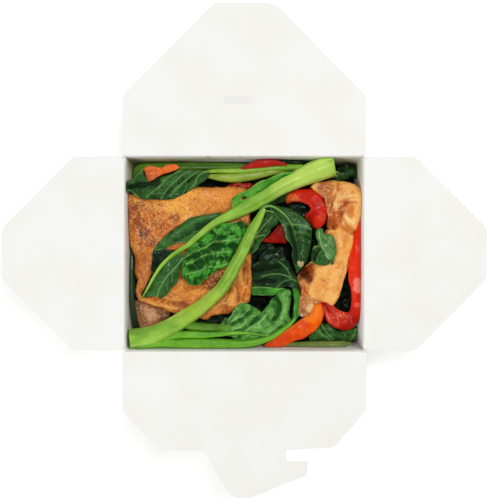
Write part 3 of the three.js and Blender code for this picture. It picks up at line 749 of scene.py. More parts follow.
def makeBlade(name, leaf, material, seed=1.0):
    s = {**bladeSettings, **leaf}
    rows, columns = s["grid"]
    left, rib, right = (smoothPath(s[k] if s["plain"] else seen(s[k]), rows)[:, None, :]
                        for k in ("left", "rib", "right"))
    v = np.linspace(0, 1, rows)[:, None]
    u = np.linspace(-1, 1, columns)[None, :]
    reach = np.abs(u)
    edge = np.where(u[..., None] < 0, left, right)
    wobble = np.array([[noise.noise(Vector((9 * t, side * 5.3, seed))) for side in (-1, 1)]
                       for t in v[:, 0]])
    jag = np.where(u < 0, wobble[:, :1], wobble[:, 1:]) * s["ragged"] * reach
    grid = rib + (edge - rib) * (reach + jag)[..., None]
    grid[..., 2] += s["belly"] * np.sin(math.pi * reach)
    warp = rough(grid * [1, 1, 0.4], s["warpSize"], 2, seed)
    phase = s["veins"] * (v + s["slant"] * reach) + 0.35 * warp + np.where(u < 0, 0.45, 0.0)
    normals = gridNormals(grid)
    if normals[..., 2].mean() < 0:
        normals = -normals
    puff = np.abs(np.sin(math.pi * phase)) ** 0.7 * np.sin(math.pi * np.clip(reach, 0, 1)) ** 0.5
    folded = foldLift(grid, s["folds"])
    pucker = cellular(grid, s["puckerSize"], seed)
    crinkle = s["crinkle"] * (rough(grid, s["crinkleSize"], 3, seed + 7.0) + 0.6 * pucker - 0.3)
    rise = np.clip(s["quilt"] * (puff - 0.5) + crinkle + 0.8 * folded, -1, 1)
    lift = s["quilt"] * puff + crinkle + folded
    wave = 2 * math.pi * s["waves"] * v + np.where(u < 0, 0.0, 2.1) + seed
    lift = lift + s["ruffle"] * reach**2 * np.sin(wave)
    vein = drawnLines(grid, s["lines"], s["veinWidth"])
    lift = lift + s["veinRise"] * vein
    top = keepInside(grid + normals * lift[..., None])
    thin = s["thickness"] * (1 - 0.6 * reach**4)
    under = keepInside(top - normals * (thin + 0 * v)[..., None], gap=0.25)
    count = rows * columns
    faces = quads(rows, columns)
    faces += [tuple(count + i for i in reversed(f)) for f in quads(rows, columns)]
    rim = [*range(columns)] + [r * columns + columns - 1 for r in range(1, rows)]
    rim += [(rows - 1) * columns + c for c in range(columns - 2, -1, -1)]
    rim += [r * columns for r in range(rows - 2, 0, -1)]
    faces += [(b, a, a + count, b + count) for a, b in zip(rim, rim[1:] + rim[:1])]
    flat = np.stack([np.broadcast_to(0.5 + 0.5 * u, phase.shape), phase], axis=2)
    piece = makePiece(name, np.concatenate([top.reshape(-1, 3), under.reshape(-1, 3)]), faces, material,
                      np.concatenate([flat.reshape(-1, 2)] * 2))
    addValues(piece, "vein", np.concatenate([vein.ravel()] * 2))
    addValues(piece, "rise", np.concatenate([rise.ravel()] * 2))
    for centre, radii in s["holes"]:
        cutHole(piece, centre, radii)
    return piece


def cutHole(piece, centre, radii):
    # an oval hole bitten through the blade, seen from above
    shape = bmesh.new()
    shape.from_mesh(piece.data)
    gone = [f for f in shape.faces
            if sum(((f.calc_center_median()[k] / mm - centre[k]) / radii[k]) ** 2 for k in (0, 1)) < 1]
    bmesh.ops.delete(shape, geom=gone, context="FACES")
    edges = [e for e in shape.edges if e.is_boundary]
    if edges:
        bmesh.ops.bridge_loops(shape, edges=edges)
    bmesh.ops.recalc_face_normals(shape, faces=shape.faces)
    shape.to_mesh(piece.data)
    shape.free()
    piece.data.shade_smooth()


def makeGreens(name, node, plan):
    # one piece from its stems and blades
    parts = [makeStem(f"{name}Stem{i}", stem, materials[finish])
             for i, (finish, stem) in enumerate(plan.get("stems", []))]
    parts += [makeBlade(f"{name}Blade{i}", blade, materials[finish], plan["seed"] + 3.7 * i)
              for i, (finish, blade) in enumerate(plan.get("blades", []))]
    makeFood(name, node, parts)


# a stem's line gives pixels across and down, height and half width in mm; a blade's edges give pixels and
# height; its lines give strength, half width in pixels and points, and its folds give height first
longStalk = {
    "seed": 2.0,
    "stems": [
        ("brightStem", {
            "line": [(333.5, 165, 53.8, 8.1), (323, 168.5, 54, 8), (311, 173, 54.2, 7.6), (300, 178, 54.6, 6.8),
                (290, 182.5, 55, 6.3), (280, 187.5, 55.4, 5.9), (268, 195, 55.8, 5.5), (255, 203, 56, 5.2),
                (245, 208, 56.2, 4.9), (235, 213, 56.4, 4.4), (228, 216.5, 56.4, 3.6), (220, 220, 56.6, 2.9),
                (212, 225, 56.8, 2.6), (204, 231.5, 57, 2.45), (196, 238, 57, 2.2), (189, 244.5, 57, 2),
                (180, 250, 56.6, 1.7), (171, 256.5, 56.2, 1.5), (162, 265, 55.8, 1.3), (155, 275, 55.4, 1.1),
                (148, 287.5, 54.8, 0.8), (142.5, 297, 53.6, 0.4)],
            "rings": 230, "sides": 56, "cut": (1.0, 1.6, 9.0), "unevenness": 0.06}),
        ("limeStem", {"line": [(331, 172, 53, 1.6), (335, 172, 53.5, 0.9), (339, 173, 54, 0.3)], "rings": 14,
            "sides": 10}),
        ("limeStem", {"line": [(330, 174, 52, 1.6), (334, 174.5, 52.5, 1), (337, 176.5, 53, 0.3)], "rings": 14,
            "sides": 10}),
    ],
    "blades": [
        ("smoothLeaf", {
            "left": [(222, 212, 56), (212, 213.5, 56), (203, 215.5, 56), (192, 217, 56), (186, 220, 56),
                (178, 226, 55.8), (168, 233, 55.5), (160, 241, 55), (156, 247, 54.5), (153, 250.5, 54)],
            "rib": [(222, 216, 57.3), (208, 221, 57.5), (196, 226, 57.5), (186, 232, 57.3), (176, 238, 57),
                (166, 244, 56.3), (154, 250.5, 54.5)],
            "right": [(222, 219, 56.5), (212, 225, 56.5), (203, 232, 56.5), (194, 240, 56.3), (184, 242.5, 56),
                (175, 244, 55.5), (166, 248.5, 54.8), (155, 251, 54)],
            "quilt": 0.3, "crinkle": 0.6, "veins": 7, "ruffle": 0.3, "grid": (140, 56),
            "folds": [(0.8, 2.0, [(216, 215), (196, 221), (178, 232), (164, 245)]),
                (-0.7, 1.8, [(212, 221), (194, 230), (176, 241)])],
            "lines": [(0.8, 1.0, [(200, 238), (190, 241), (182, 242), (174, 244), (165, 248.5),
                (156, 250.5)])]}),
        ("shadedLeaf", {
            "left": [(160, 247, 54.2), (153, 251, 54.2), (152, 260, 54.4), (151, 268, 54.4), (151, 275, 54.2),
                (147.5, 282, 54), (143, 291, 53.8), (141.5, 296, 53.3)],
            "rib": [(168, 250, 53.6), (160, 256, 53.6), (156, 264, 53.8), (153, 272, 53.8), (149.5, 280, 53.8),
                (146, 287, 53.6), (142, 296, 53.2)],
            "right": [(178, 250, 55), (170, 256, 55), (162, 264, 54.8), (155, 273, 54.6), (151, 281, 54.2),
                (147, 288, 53.8), (142.5, 296.5, 53.2)],
            "crinkle": 0.7, "quilt": 0.5, "veins": 8, "belly": 0}),
        ("smoothLeaf", {
            "left": [(182, 249, 54.8), (172, 255.5, 55), (163, 264, 55), (157, 272, 54.8), (152.5, 282, 54.5),
                (148.5, 290, 54.2), (142.5, 297.5, 53.4)],
            "rib": [(183, 258, 56), (175.5, 267.5, 56.5), (168, 275, 56.6), (164, 281, 56.3), (160, 289, 55.8),
                (157, 296, 54.5)],
            "right": [(184, 257, 54.8), (181, 264, 54.8), (179.5, 272, 54.8), (178, 281, 54.8),
                (172, 288, 54.6), (166, 295, 54.2), (160, 299.5, 53.6)],
            "quilt": 0.25, "crinkle": 0.35, "ruffle": 0.2, "belly": 0.4,
            "lines": [(1.0, 0.9, [(183, 258), (175, 268), (168, 275), (164, 281), (159, 290), (157, 298)]),
                (0.4, 0.7, [(164, 281), (158, 283)]), (0.35, 0.7, [(172, 271), (172, 282)]),
                (0.35, 0.7, [(168, 276), (167, 290)])]}),
        ("veinedLeaf", {
            "left": [(216, 224, 56), (205, 234, 56), (196, 243, 56), (186, 252, 56), (183, 259, 55.8),
                (182, 268, 55.3), (182, 276, 54.8), (188, 284, 54.2)],
            "rib": [(231, 223, 57), (224, 231, 57.2), (217, 240, 57.4), (211, 249, 57.2), (204, 258, 56.8),
                (198, 269, 56), (195, 285.5, 54.2)],
            "right": [(243, 221, 55.5), (248, 227, 54.8), (243, 237, 54), (238, 247, 53.8), (234, 256, 53.8),
                (228, 264.5, 53.8), (217, 271, 53.8), (208, 277.5, 53.8), (203, 281.5, 53.8), (199, 285, 53.8)],
            "grid": (158, 104), "crinkle": 1.0, "quilt": 0.5, "slant": -0.5,
            "lines": [(1.0, 0.9, [(183, 259), (190, 254), (198, 250), (206, 247), (214, 242), (225, 241),
                (232, 240), (242, 238)]),
                (0.9, 0.8, [(186, 264), (194, 261), (203, 256), (210, 254), (220, 252.5), (234, 251.5)]),
                (0.8, 0.8, [(186, 274), (193, 272.5), (200, 271), (206, 267), (213, 267), (220, 266),
                (228, 263)]), (0.6, 0.7, [(214, 228), (217, 235), (214, 242)]),
                (0.5, 0.7, [(225, 228), (233, 230), (240, 227)]), (0.5, 0.7, [(198, 250), (203, 256)]),
                (0.5, 0.7, [(206, 247), (213, 252)]), (0.5, 0.7, [(196, 243), (200, 249)]),
                (0.5, 0.7, [(191, 262), (197, 268)]), (0.5, 0.7, [(220, 253), (225, 258), (223, 264)]),
                (0.5, 0.7, [(222, 230), (228, 236), (238, 235)]), (0.4, 0.7, [(203, 257), (207, 265)]),
                (0.4, 0.7, [(213, 254), (215, 262)])],
            "folds": [(-1.2, 2.2, [(188, 257.5), (200, 254), (212, 247.5), (224, 246.5), (236, 245.5)]),
                (-1.2, 2.2, [(190, 268), (200, 264), (212, 259.5), (226, 258.5)]),
                (-0.9, 1.8, [(212, 232), (222, 237.5), (234, 233)])]}),
        ("brightLeaf", {
            "left": [(289, 172.5, 57.3), (286, 172.3, 57.5), (280, 173.5, 57.5), (271, 177, 57.3),
                (262, 180.3, 57), (254, 185.5, 56.5), (246, 190.5, 56), (238, 194, 55.8), (232, 198, 55.5)],
            "rib": [(292, 171.5, 58.4), (283, 176, 58.8), (270, 183, 59), (258, 190.5, 58.8), (247, 196, 58.2),
                (238, 200.5, 57.4), (232, 204, 56.4)],
            "right": [(296, 172, 57.3), (285, 180, 57.5), (272, 189, 57.5), (262, 196, 57.3), (252, 200, 57),
                (243, 204, 56.5), (232, 209, 56)],
            "quilt": 0.2, "crinkle": 0.45, "ruffle": 0.3, "holes": [(seenSpot(244, 198, 58)[:2], (1.9, 1.4))],
            "lines": [(0.8, 0.9, [(287, 173), (280, 174), (271, 177.5), (262, 181), (254, 186), (246, 191),
                (238, 194.5)])],
            "folds": [(-0.8, 1.2, [(286, 175), (275, 181.5), (266, 188), (258, 193)])]}),
    ],
}

branchedStalk = {
    "seed": 5.0,
    "stems": [
        ("brightStem", {
            "line": [(130.5, 339, 54, 7.4), (143, 337.8, 54.2, 7.2), (153, 335, 54.6, 6.9), (163, 331, 55, 6.6),
                (174, 325, 55.4, 6.3), (188, 316, 55.8, 5.9), (199, 309, 56, 5.4), (211, 299, 56.2, 4.9),
                (222, 288, 56.4, 4.7), (231, 274, 56.6, 4.6), (236, 264, 56.8, 4.4), (241, 255, 57, 4.2),
                (246.5, 243, 57.3, 4), (252, 231, 57.6, 3.7), (257, 222, 57.9, 3.2), (261, 214.5, 58.3, 2.5),
                (264, 208.5, 58.4, 1.8)],
            "rings": 220, "sides": 56, "ribs": 6, "ribDepth": 0.045, "unevenness": 0.07}),
        ("leafRib", {"line": [(261, 212, 58.6, 1.3), (264, 207.5, 59.2, 1.1), (269, 205.8, 59.4, 0.9),
            (275, 207.5, 59.5, 0.8), (281, 211.5, 59.4, 0.7), (286.5, 216.5, 59.1, 0.55),
            (291, 223, 58.6, 0.35)], "sides": 14}),
        ("leafRib", {"line": [(258, 219, 57, 0.7), (265, 211.5, 57.4, 0.6), (272, 212, 57, 0.5),
            (278, 216, 56, 0.3)], "sides": 12}),
        ("deepStem", {"line": [(172, 323, 52, 2.2), (190, 326, 52.4, 3.2), (206, 327.5, 52.6, 3.1),
            (222, 327.5, 52.4, 2.3), (240, 326, 51.6, 0.6)], "ribs": 4, "ribDepth": 0.06}),
        ("freshStem", {"line": [(140, 338, 54, 4.6), (152, 337.5, 54.6, 4.2), (163, 336.8, 54.7, 3.5),
            (178, 335, 54.8, 2.9), (192, 334.6, 54.9, 2.7), (206, 335, 54.8, 2.3), (222, 334, 54.6, 1.8),
            (236, 333, 54.4, 1.3), (248, 333, 54.3, 1), (258, 334.5, 54, 0.7), (268, 336, 53.6, 0.3)],
            "ribs": 5, "ribDepth": 0.05, "rings": 150}),
        ("freshStem", {"line": [(130.8, 343, 53.4, 5.6), (142, 343, 53.8, 5.2), (152, 342.5, 54.2, 4.6),
            (163, 342.5, 54.3, 4), (175, 343.5, 54.4, 3.7), (195, 344, 54.4, 3.8), (215, 344, 54.4, 3.8),
            (235, 344.3, 54.2, 3.5), (252, 343, 54, 3), (268, 338.5, 53.6, 2.2), (281, 331, 53, 1.8),
            (291, 323, 52.4, 1.3), (296, 317, 51.8, 0.7)], "ribs": 5, "ribDepth": 0.05, "rings": 150}),
    ],
    "blades": [
        ("darkLeaf", {
            "left": [(266, 208.5, 57.5), (271, 209.5, 57), (275, 214.5, 56.5), (280, 221.5, 55.8),
                (284, 230, 55), (287, 239, 54.2), (291, 246, 53.5), (292, 256, 52.5), (293.5, 264, 51.5),
                (296, 272, 51)],
            "rib": [(265, 206.5, 58.5), (271, 206.3, 59), (278, 209, 59), (284, 214, 58.7), (289, 220, 58.3),
                (292, 225, 58), (295, 233, 57.2), (297, 242, 56.2), (298.5, 250, 55), (299, 260, 53.3),
                (296.5, 272.5, 51.3)],
            "right": [(263, 205.5, 58), (271, 204.8, 58.3), (280, 206, 58), (286, 207.5, 57.6), (293, 210, 57),
                (298, 213.5, 56.5), (303, 217.5, 56), (307, 222, 55.6), (311, 228, 55), (311.8, 237, 54.5),
                (310.5, 246, 53.5), (309, 254, 52.5), (307, 261, 51.5), (301, 269, 51), (296.5, 273, 51)],
            "grid": (160, 84), "quilt": 0.35, "crinkle": 0.3, "ruffle": 0.3,
            "lines": [(1.0, 0.9, [(263, 206.5), (271, 206.3), (278, 209), (284, 214), (289, 220), (292, 225)]),
                (0.9, 0.8, [(292, 224.5), (300, 225), (307, 227), (311.5, 229)]), (0.9, 0.9, [(271, 209.5),
                (275, 214.5), (280, 221.5), (284, 230), (287, 239), (291, 246)]),
                (0.5, 0.7, [(292, 225), (295, 234), (298, 246), (300, 259)]),
                (0.4, 0.7, [(295, 237), (302, 238), (308, 241)]),
                (0.4, 0.7, [(298, 247), (304, 250), (308, 254)]),
                (0.35, 0.7, [(284, 214), (291, 213), (297, 215)])],
            "folds": [(-1.4, 2.0, [(289, 228), (292, 238), (295, 249), (296, 262)]),
                (0.9, 2.5, [(300, 232), (304, 244), (304, 256)]),
                (-0.7, 1.0, [(294, 229), (302, 229.5), (310, 232)]),
                (0.6, 1.0, [(295, 232), (302, 232.5), (310, 235)]),
                (-0.7, 1.0, [(296, 236), (303, 236.5), (310, 239)]),
                (0.5, 1.2, [(297, 240), (303, 241), (309, 243)])]}),
        ("darkLeaf", {
            "left": [(266, 211, 56), (262, 219, 55.5), (257, 230, 55), (252, 242, 54.5), (249, 252, 53.5)],
            "rib": [(270, 213, 55.5), (267, 222, 55.5), (261, 232, 55.5), (256, 241, 55), (250.5, 253, 53.5)],
            "right": [(282, 213, 53), (279, 222, 53), (271, 231, 53.5), (262, 241.5, 53.5), (252, 255, 53)],
            "grid": (90, 44), "veins": 4,
            "lines": [(0.9, 0.8, [(272, 217), (266, 223), (260, 230), (255, 237), (252, 245)]),
                (0.8, 0.8, [(265, 235), (259, 236), (255, 238)]),
                (0.6, 0.8, [(270, 231), (262, 241), (252, 254)])]}),
        ("shootLeaf", {
            "left": [(220, 324, 51), (224, 319, 51.3), (230, 316, 51.5), (234, 310, 51.7), (238, 305, 51.7),
                (243, 302, 51.6), (248, 303, 51.4), (254, 306, 51), (260, 311, 50.6), (262, 313, 50.3),
                (266, 307, 50.3), (271, 300, 50.5), (277, 294.5, 50.6), (284, 290.5, 50.2), (290, 289.5, 49.4),
                (291.5, 299, 49.6), (290.5, 309, 49.8), (289, 318, 50.2)],
            "rib": [(216, 334, 52.6), (228, 332.3, 53.2), (240, 332, 53.5), (250, 333, 53.5), (260, 335, 53.2),
                (268, 334.5, 53), (277, 331, 53), (285, 326, 52.6), (291, 320, 52)],
            "right": [(216, 336, 52), (230, 338, 52), (242, 342, 52), (252, 341, 52), (262, 340, 52),
                (272, 338, 52), (281, 334, 51.8), (290, 327, 51.5), (296, 319, 51)],
            "grid": (180, 84), "crinkle": 0.7, "quilt": 0.45, "veins": 9,
            "lines": [(1.0, 1.4, [(205, 337), (216, 334.5), (228, 332.5), (240, 332), (250, 333), (260, 335),
                (268, 335.5)]), (0.9, 0.9, [(224, 329), (230, 323), (235, 319), (242, 316), (247, 311)]),
                (0.7, 0.8, [(225, 328), (229, 320), (234, 311)]),
                (0.8, 0.9, [(232, 330), (240, 327), (245, 323), (246, 320)]),
                (0.9, 0.9, [(246, 331), (254, 325), (260, 322), (266, 315)]),
                (0.6, 0.8, [(262, 334), (272, 330), (282, 322)]),
                (0.5, 0.7, [(250, 327), (262, 327), (270, 324)]),
                (0.5, 0.7, [(246, 333), (252, 337), (256, 339)]),
                (0.5, 0.7, [(242, 316), (250, 317), (258, 315)]),
                (0.4, 0.7, [(268, 320), (276, 314), (286, 312)]), (0.4, 0.7, [(274, 326), (283, 318)])],
            "folds": [(-2.0, 1.8, [(275, 297), (279.5, 303), (280, 308), (278, 314), (274, 319)]),
                (-1.0, 2.0, [(226, 325), (236, 322.5), (250, 312)]),
                (-0.8, 2.0, [(236, 331), (248, 327), (258, 317)]),
                (0.8, 2.5, [(284, 298), (285, 308), (282, 316)])]}),
    ],
}

backStalk = {
    "seed": 9.0,
    "stems": [
        ("limeStem", {"line": [(200, 173.5, 52.8, 1), (208, 172, 52.4, 1.2), (216, 171, 51.4, 1.4),
            (228, 171, 50.6, 1.7), (242, 170.8, 50.4, 1.8), (256, 169.6, 50.4, 1.8), (270, 168, 50.4, 2),
            (288, 167.5, 50.4, 2.3), (303, 167.5, 50, 2.2)], "ribs": 4}),
        ("oliveStem", {"line": [(203, 176, 51.4, 1), (210, 176.3, 51, 1.7), (218, 177, 50, 2.7),
            (228, 177.8, 49.2, 3.3), (240, 177.3, 49, 3.5), (252, 175.8, 48.8, 3.3), (264, 173.5, 48.6, 3),
            (280, 170, 48.2, 2.6), (296, 168, 48, 2)], "ribs": 5, "flatness": 0.8}),
    ],
    "blades": [
        ("darkLeaf", {
            "left": [(211, 171, 52), (200, 170, 53), (190, 170.3, 53.5), (180, 169.7, 54), (171, 173, 55),
                (164, 176, 55.5), (157, 179, 56), (150, 182, 57), (146, 177, 57), (143, 169.5, 57.5),
                (138, 174, 58.5), (133, 179.5, 59.5), (127, 181, 60.2)],
            "rib": [(207, 174.5, 53.5), (197, 177.5, 54.5), (187, 181, 55.5), (176, 184.5, 56.5),
                (165, 186.5, 57.5), (153, 187.5, 58.5), (141, 187, 59.5), (133, 186.5, 60.3), (126, 187, 60.5)],
            "right": [(211, 174, 52), (208.5, 177.5, 52.5), (203.5, 181.5, 53), (197, 186, 54),
                (188.5, 192.5, 54.5), (180, 196.3, 55), (172, 199, 55.5), (160, 200, 56), (145.5, 199, 57),
                (139, 197, 57.5), (134.5, 194.5, 58.5), (130.5, 191.5, 59.5), (127, 193, 60)],
            "grid": (170, 80), "veins": 9, "slant": 0.5, "quilt": 0.4, "crinkle": 0.45,
            "lines": [(0.8, 0.8, [(204, 171), (199.5, 171.3), (191, 176.3), (182.8, 183), (177, 188),
                (170, 196)]), (0.8, 0.8, [(206, 172), (200, 174.5), (197, 178), (194.5, 184), (188, 191)]),
                (0.8, 0.8, [(205, 170.5), (192, 170.8), (182.8, 174.7), (177, 179.7), (171.3, 184.7),
                (164.7, 193), (161, 199)]), (0.7, 0.8, [(181, 171), (171, 175.5), (164.7, 180.5), (160, 186),
                (154.7, 190.5), (146, 197)]), (0.4, 0.7, [(164, 180), (157, 182.5), (150, 186), (143, 191)]),
                (0.8, 0.9, [(133, 179.5), (138, 174), (143, 169.5)]),
                (0.8, 0.9, [(126, 192), (130, 190.8), (134, 193.5), (139, 197)]),
                (0.4, 0.7, [(186, 180), (186, 188), (182, 195)]), (0.4, 0.7, [(176, 181), (178, 186)]),
                (0.4, 0.7, [(168, 188), (172, 192)])],
            "folds": [(-1.6, 2.5, [(131, 187), (140, 184.5), (150, 184.5), (158, 182)]),
                (-0.6, 1.8, [(195, 175), (186, 184), (178, 193)]),
                (-0.6, 1.8, [(183, 178), (172, 188), (164, 196)])]}),
    ],
}

smallLeaf = {
    "seed": 12.0,
    "blades": [
        ("paleLeaf", {
            "left": [(316, 229, 51.5), (316, 238, 52.8), (319, 246, 54.5), (324.5, 254, 55), (329, 260, 54.8),
                (331.5, 265, 53.8)],
            "rib": [(320, 228.5, 52.5), (322, 236, 54.2), (326, 243, 56), (330, 250, 56.6), (332, 257, 56),
                (332.3, 264, 54)],
            "right": [(321.5, 228.5, 51.5), (325, 233, 53), (330, 234, 53.8), (335, 240, 54.5),
                (336.5, 249, 54.8), (335.5, 258, 54.2), (333, 265, 53.4)],
            "veins": 5, "grid": (90, 56), "crinkle": 0.4, "quilt": 0.3, "ragged": 0.02,
            "lines": [(0.9, 0.8, [(319, 231), (319.5, 238), (322, 246), (325.5, 253), (329, 259)]),
                (0.4, 0.7, [(321, 242), (327, 246), (333, 252)]),
                (0.4, 0.7, [(324, 238), (329, 241), (334, 247)]), (0.4, 0.7, [(325, 252), (331, 256)])]}),
        ("darkLeaf", {
            "left": [(320, 243, 53), (313, 247, 52.6), (311, 254, 52.2), (311.5, 261, 52), (316, 264.5, 51.6)],
            "rib": [(321, 246, 54.5), (318, 251, 54.5), (317.5, 257, 54), (320, 262, 53), (321, 265, 52.2)],
            "right": [(323, 248, 55), (326, 254, 54.8), (329, 259, 54.3), (329, 264, 53.4), (326, 266, 52.4)],
            "veins": 4, "grid": (70, 44), "belly": 0.2, "ragged": 0.02,
            "lines": [(0.9, 0.8, [(320.5, 246), (315.5, 247), (312, 250)]),
                (0.5, 0.7, [(322, 248), (319, 254), (317, 262)])],
            "folds": [(-0.8, 1.6, [(320, 250), (316, 254), (314, 260)])]}),
    ],
}

middleLeaf = {
    "seed": 15.0,
    "blades": [
        ("innerLeaf", {
            "left": [(252, 266, 46), (258, 262, 46.5), (266, 259, 47), (275, 258, 47.3), (283, 259, 47.6),
                (289, 262, 48), (292.5, 268, 48.3), (295, 274, 48.5), (297, 280, 48.3)],
            "rib": [(252, 274, 47.5), (262, 276.5, 48.8), (270, 274.5, 49.5), (278, 274, 50),
                (285, 275.5, 50.2), (291, 278, 50), (297, 283, 49.2), (299, 288, 48.6)],
            "right": [(251, 287, 46.5), (258, 287, 46.6), (265, 286.5, 46.8), (269, 289, 47), (276, 291, 47.2),
                (283, 288, 47.6), (290, 287, 48), (296, 289, 48.2), (299, 294, 48)],
            "veins": 4, "grid": (130, 90), "quilt": 0.2,
            "lines": [(1.0, 0.8, [(262, 276.5), (270, 274.5), (278, 274), (285, 275.5), (291, 278),
                (296, 281.5)]), (0.8, 0.8, [(277, 260), (283, 265), (288, 271), (291, 277)]),
                (0.8, 1.0, [(252, 266), (258, 262), (266, 259), (275, 258.3), (283, 259.3)]),
                (0.7, 0.8, [(276, 289), (280, 284), (285, 281), (292, 279)]),
                (0.9, 0.8, [(284, 287.5), (293, 288), (298, 291), (299.5, 296)])],
            "folds": [(-1.2, 2.5, [(253, 270), (264, 268), (276, 266)]),
                (-1.0, 2.0, [(255, 282), (268, 281), (276, 281)])]}),
        ("veinedLeaf", {
            "left": [(251, 287, 46.6), (262, 286.5, 47), (270, 287, 47.2), (279, 288, 47.4),
                (288, 288.5, 47.6)],
            "rib": [(251.5, 290.5, 48), (262, 290.5, 48.4), (270, 291, 48.4), (279, 290.5, 48.6),
                (289, 289.5, 48.8)],
            "right": [(252, 295, 45.8), (262, 295.5, 45.8), (270, 295.5, 46), (278, 294, 46.2),
                (289, 291, 46.4)],
            "grid": (80, 30), "veins": 3, "crinkle": 0.3, "quilt": 0.1, "ragged": 0.0, "ruffle": 0.2,
            "lines": [(0.9, 1.0, [(253, 287.5), (264, 287), (272, 288), (284, 288.5)]),
                (0.6, 0.9, [(254, 294.5), (264, 295), (275, 294.5)])]}),
        ("veinedLeaf", {
            "left": [(291, 289, 47.4), (293.5, 298, 47.2), (293, 308, 47), (292, 316, 46.6), (290, 323, 46.3)],
            "rib": [(294, 288.5, 48.6), (296, 297, 48.8), (296.3, 307, 48.6), (295.5, 316, 48),
                (293, 323.5, 47)],
            "right": [(298, 290.5, 47.6), (299.7, 297, 47.4), (299.7, 307, 47.2), (299, 315, 47),
                (295, 322, 46.6)],
            "grid": (80, 30), "veins": 4, "crinkle": 0.3, "quilt": 0.15, "ragged": 0.0, "ruffle": 0.2,
            "lines": [(0.7, 0.7, [(294.5, 304), (294.7, 318)]),
                (0.8, 0.8, [(299.5, 294), (299.7, 307), (298.5, 316)])]})],
}

darkLeaf = {
    "seed": 18.0,
    "blades": [
        ("shadedLeaf", {
            "left": [(257, 264, 44), (261, 255, 46.5), (267, 249, 48), (275, 246.5, 48.6), (283, 248, 48.4),
                (287, 254, 47.5)],
            "rib": [(260, 265, 46.5), (264.5, 258, 48.6), (270, 253.5, 49.6), (276, 252, 50),
                (282, 253.5, 49.6), (285, 258, 48)],
            "right": [(264, 267, 44.5), (269, 262, 46.5), (275, 259, 47.4), (280, 259, 47), (283, 261, 46),
                (285, 264, 45)],
            "crinkle": 1.1, "quilt": 0.35, "veins": 5, "grid": (110, 60), "ragged": 0.08,
            "lines": [(0.7, 0.9, [(261, 256), (267, 250), (275, 247.5), (283, 249)]),
                (0.5, 0.7, [(264, 264), (270, 256), (277, 253)])]}),
        ("shadedLeaf", {
            "left": [(249, 254, 42), (254, 247, 44), (262, 243, 44.5), (272, 242, 44)],
            "rib": [(251, 257, 43), (256, 251, 45), (264, 247, 45.6), (273, 245, 45)],
            "right": [(254, 261, 42), (259, 256, 43.5), (266, 252, 44), (274, 249, 43.5)],
            "crinkle": 1.1, "quilt": 0.3, "veins": 4, "grid": (70, 40), "ragged": 0.1})]}

backLeaf = {
    "seed": 21.0,
    "blades": [("shadedLeaf", {
        "plain": True,
        "left": [(27, 67, 53), (38, 66.8, 52), (49, 66.5, 50)],
        "rib": [(27, 65, 51), (38, 64.5, 50), (49, 64, 48)],
        "right": [(27, 62, 47.5), (38, 61.5, 46.5), (49, 61, 45)],
        "grid": (50, 30), "crinkle": 0.6})],
}

cornerLeaf = {
    "seed": 24.0,
    "blades": [("darkLeaf", {
        "left": [(309, 335, 45), (316, 328, 45.5), (323, 322, 46), (334, 327, 45.5), (345, 330, 45),
            (357, 325, 45)],
        "rib": [(309, 339, 46), (318, 334, 47.5), (327, 333, 47.5), (337, 334, 46.5), (347, 335, 46),
            (357, 332, 45.5)],
        "right": [(310, 342, 45), (320, 341.5, 45.5), (330, 341, 45.5), (340, 341, 45), (350, 342, 45),
            (356, 341, 45)],
        "grid": (90, 50), "veins": 6, "crinkle": 0.6,
        "lines": [(0.7, 0.8, [(321, 324), (326, 332), (333, 339)]),
            (0.7, 0.8, [(315, 330), (323, 335), (331, 340)]), (0.6, 0.8, [(318, 327), (322, 336)]),
            (0.8, 0.8, [(356, 329), (353, 336), (350, 342)])]})],
}

wallStems = {
    "stemBehind": ("stem_wall_back", "deepStem", {
        "path": [(-79, 54, 42), (-77.5, 60, 43.5), (-71, 62.6, 44.5), (-40, 63.2, 44.5), (-1, 63, 43.5),
            (9, 62, 42)],
        "radii": [2.8, 3.6, 3.4, 3.2, 2.8, 0.8], "ribs": 4, "ribDepth": 0.08, "rings": 160}),
    "stemLeft": ("stem_wall_left", "darkStem", {
        "path": [(-82, 6.5, 46), (-82.2, -12, 49), (-82, -31, 50), (-80, -45, 49), (-77, -56, 46)],
        "radii": [1.6, 1.9, 2, 2, 1.6]}),
    "stemFront": ("stem_wall_front", "greenStem", {
        "line": [(280, 346, 48, 2.2), (300, 345.3, 49, 2.7), (320, 344.9, 50.5, 2.8), (343, 344.3, 51.5, 2.3),
            (348, 343.5, 51.6, 1.2), (352, 343, 51.8, 0.3)]}),
    "stemCorner": ("stem_corner", "darkStem", {
        "path": [(52, 55, 44), (66, 57, 45), (75, 58.4, 45.5), (79, 59, 45.5)],
        "radii": [2.4, 2.6, 1.8, 0.4]}),
}

makeGreens("longStalk", "stalk_long", longStalk)
makeGreens("branchedStalk", "stalk_branched", branchedStalk)
makeGreens("backStalk", "stalk_back", backStalk)
makeGreens("smallLeaf", "leaf_small", smallLeaf)
makeGreens("middleLeaf", "leaf_middle", middleLeaf)
makeGreens("darkLeaf", "leaf_dark", darkLeaf)
makeGreens("backLeaf", "leaf_back", backLeaf)
makeGreens("cornerLeaf", "leaf_corner", cornerLeaf)
for name, (node, finish, stem) in wallStems.items():
    makeGreens(name, node, {"stems": [(finish, stem)]})
print("greens made")


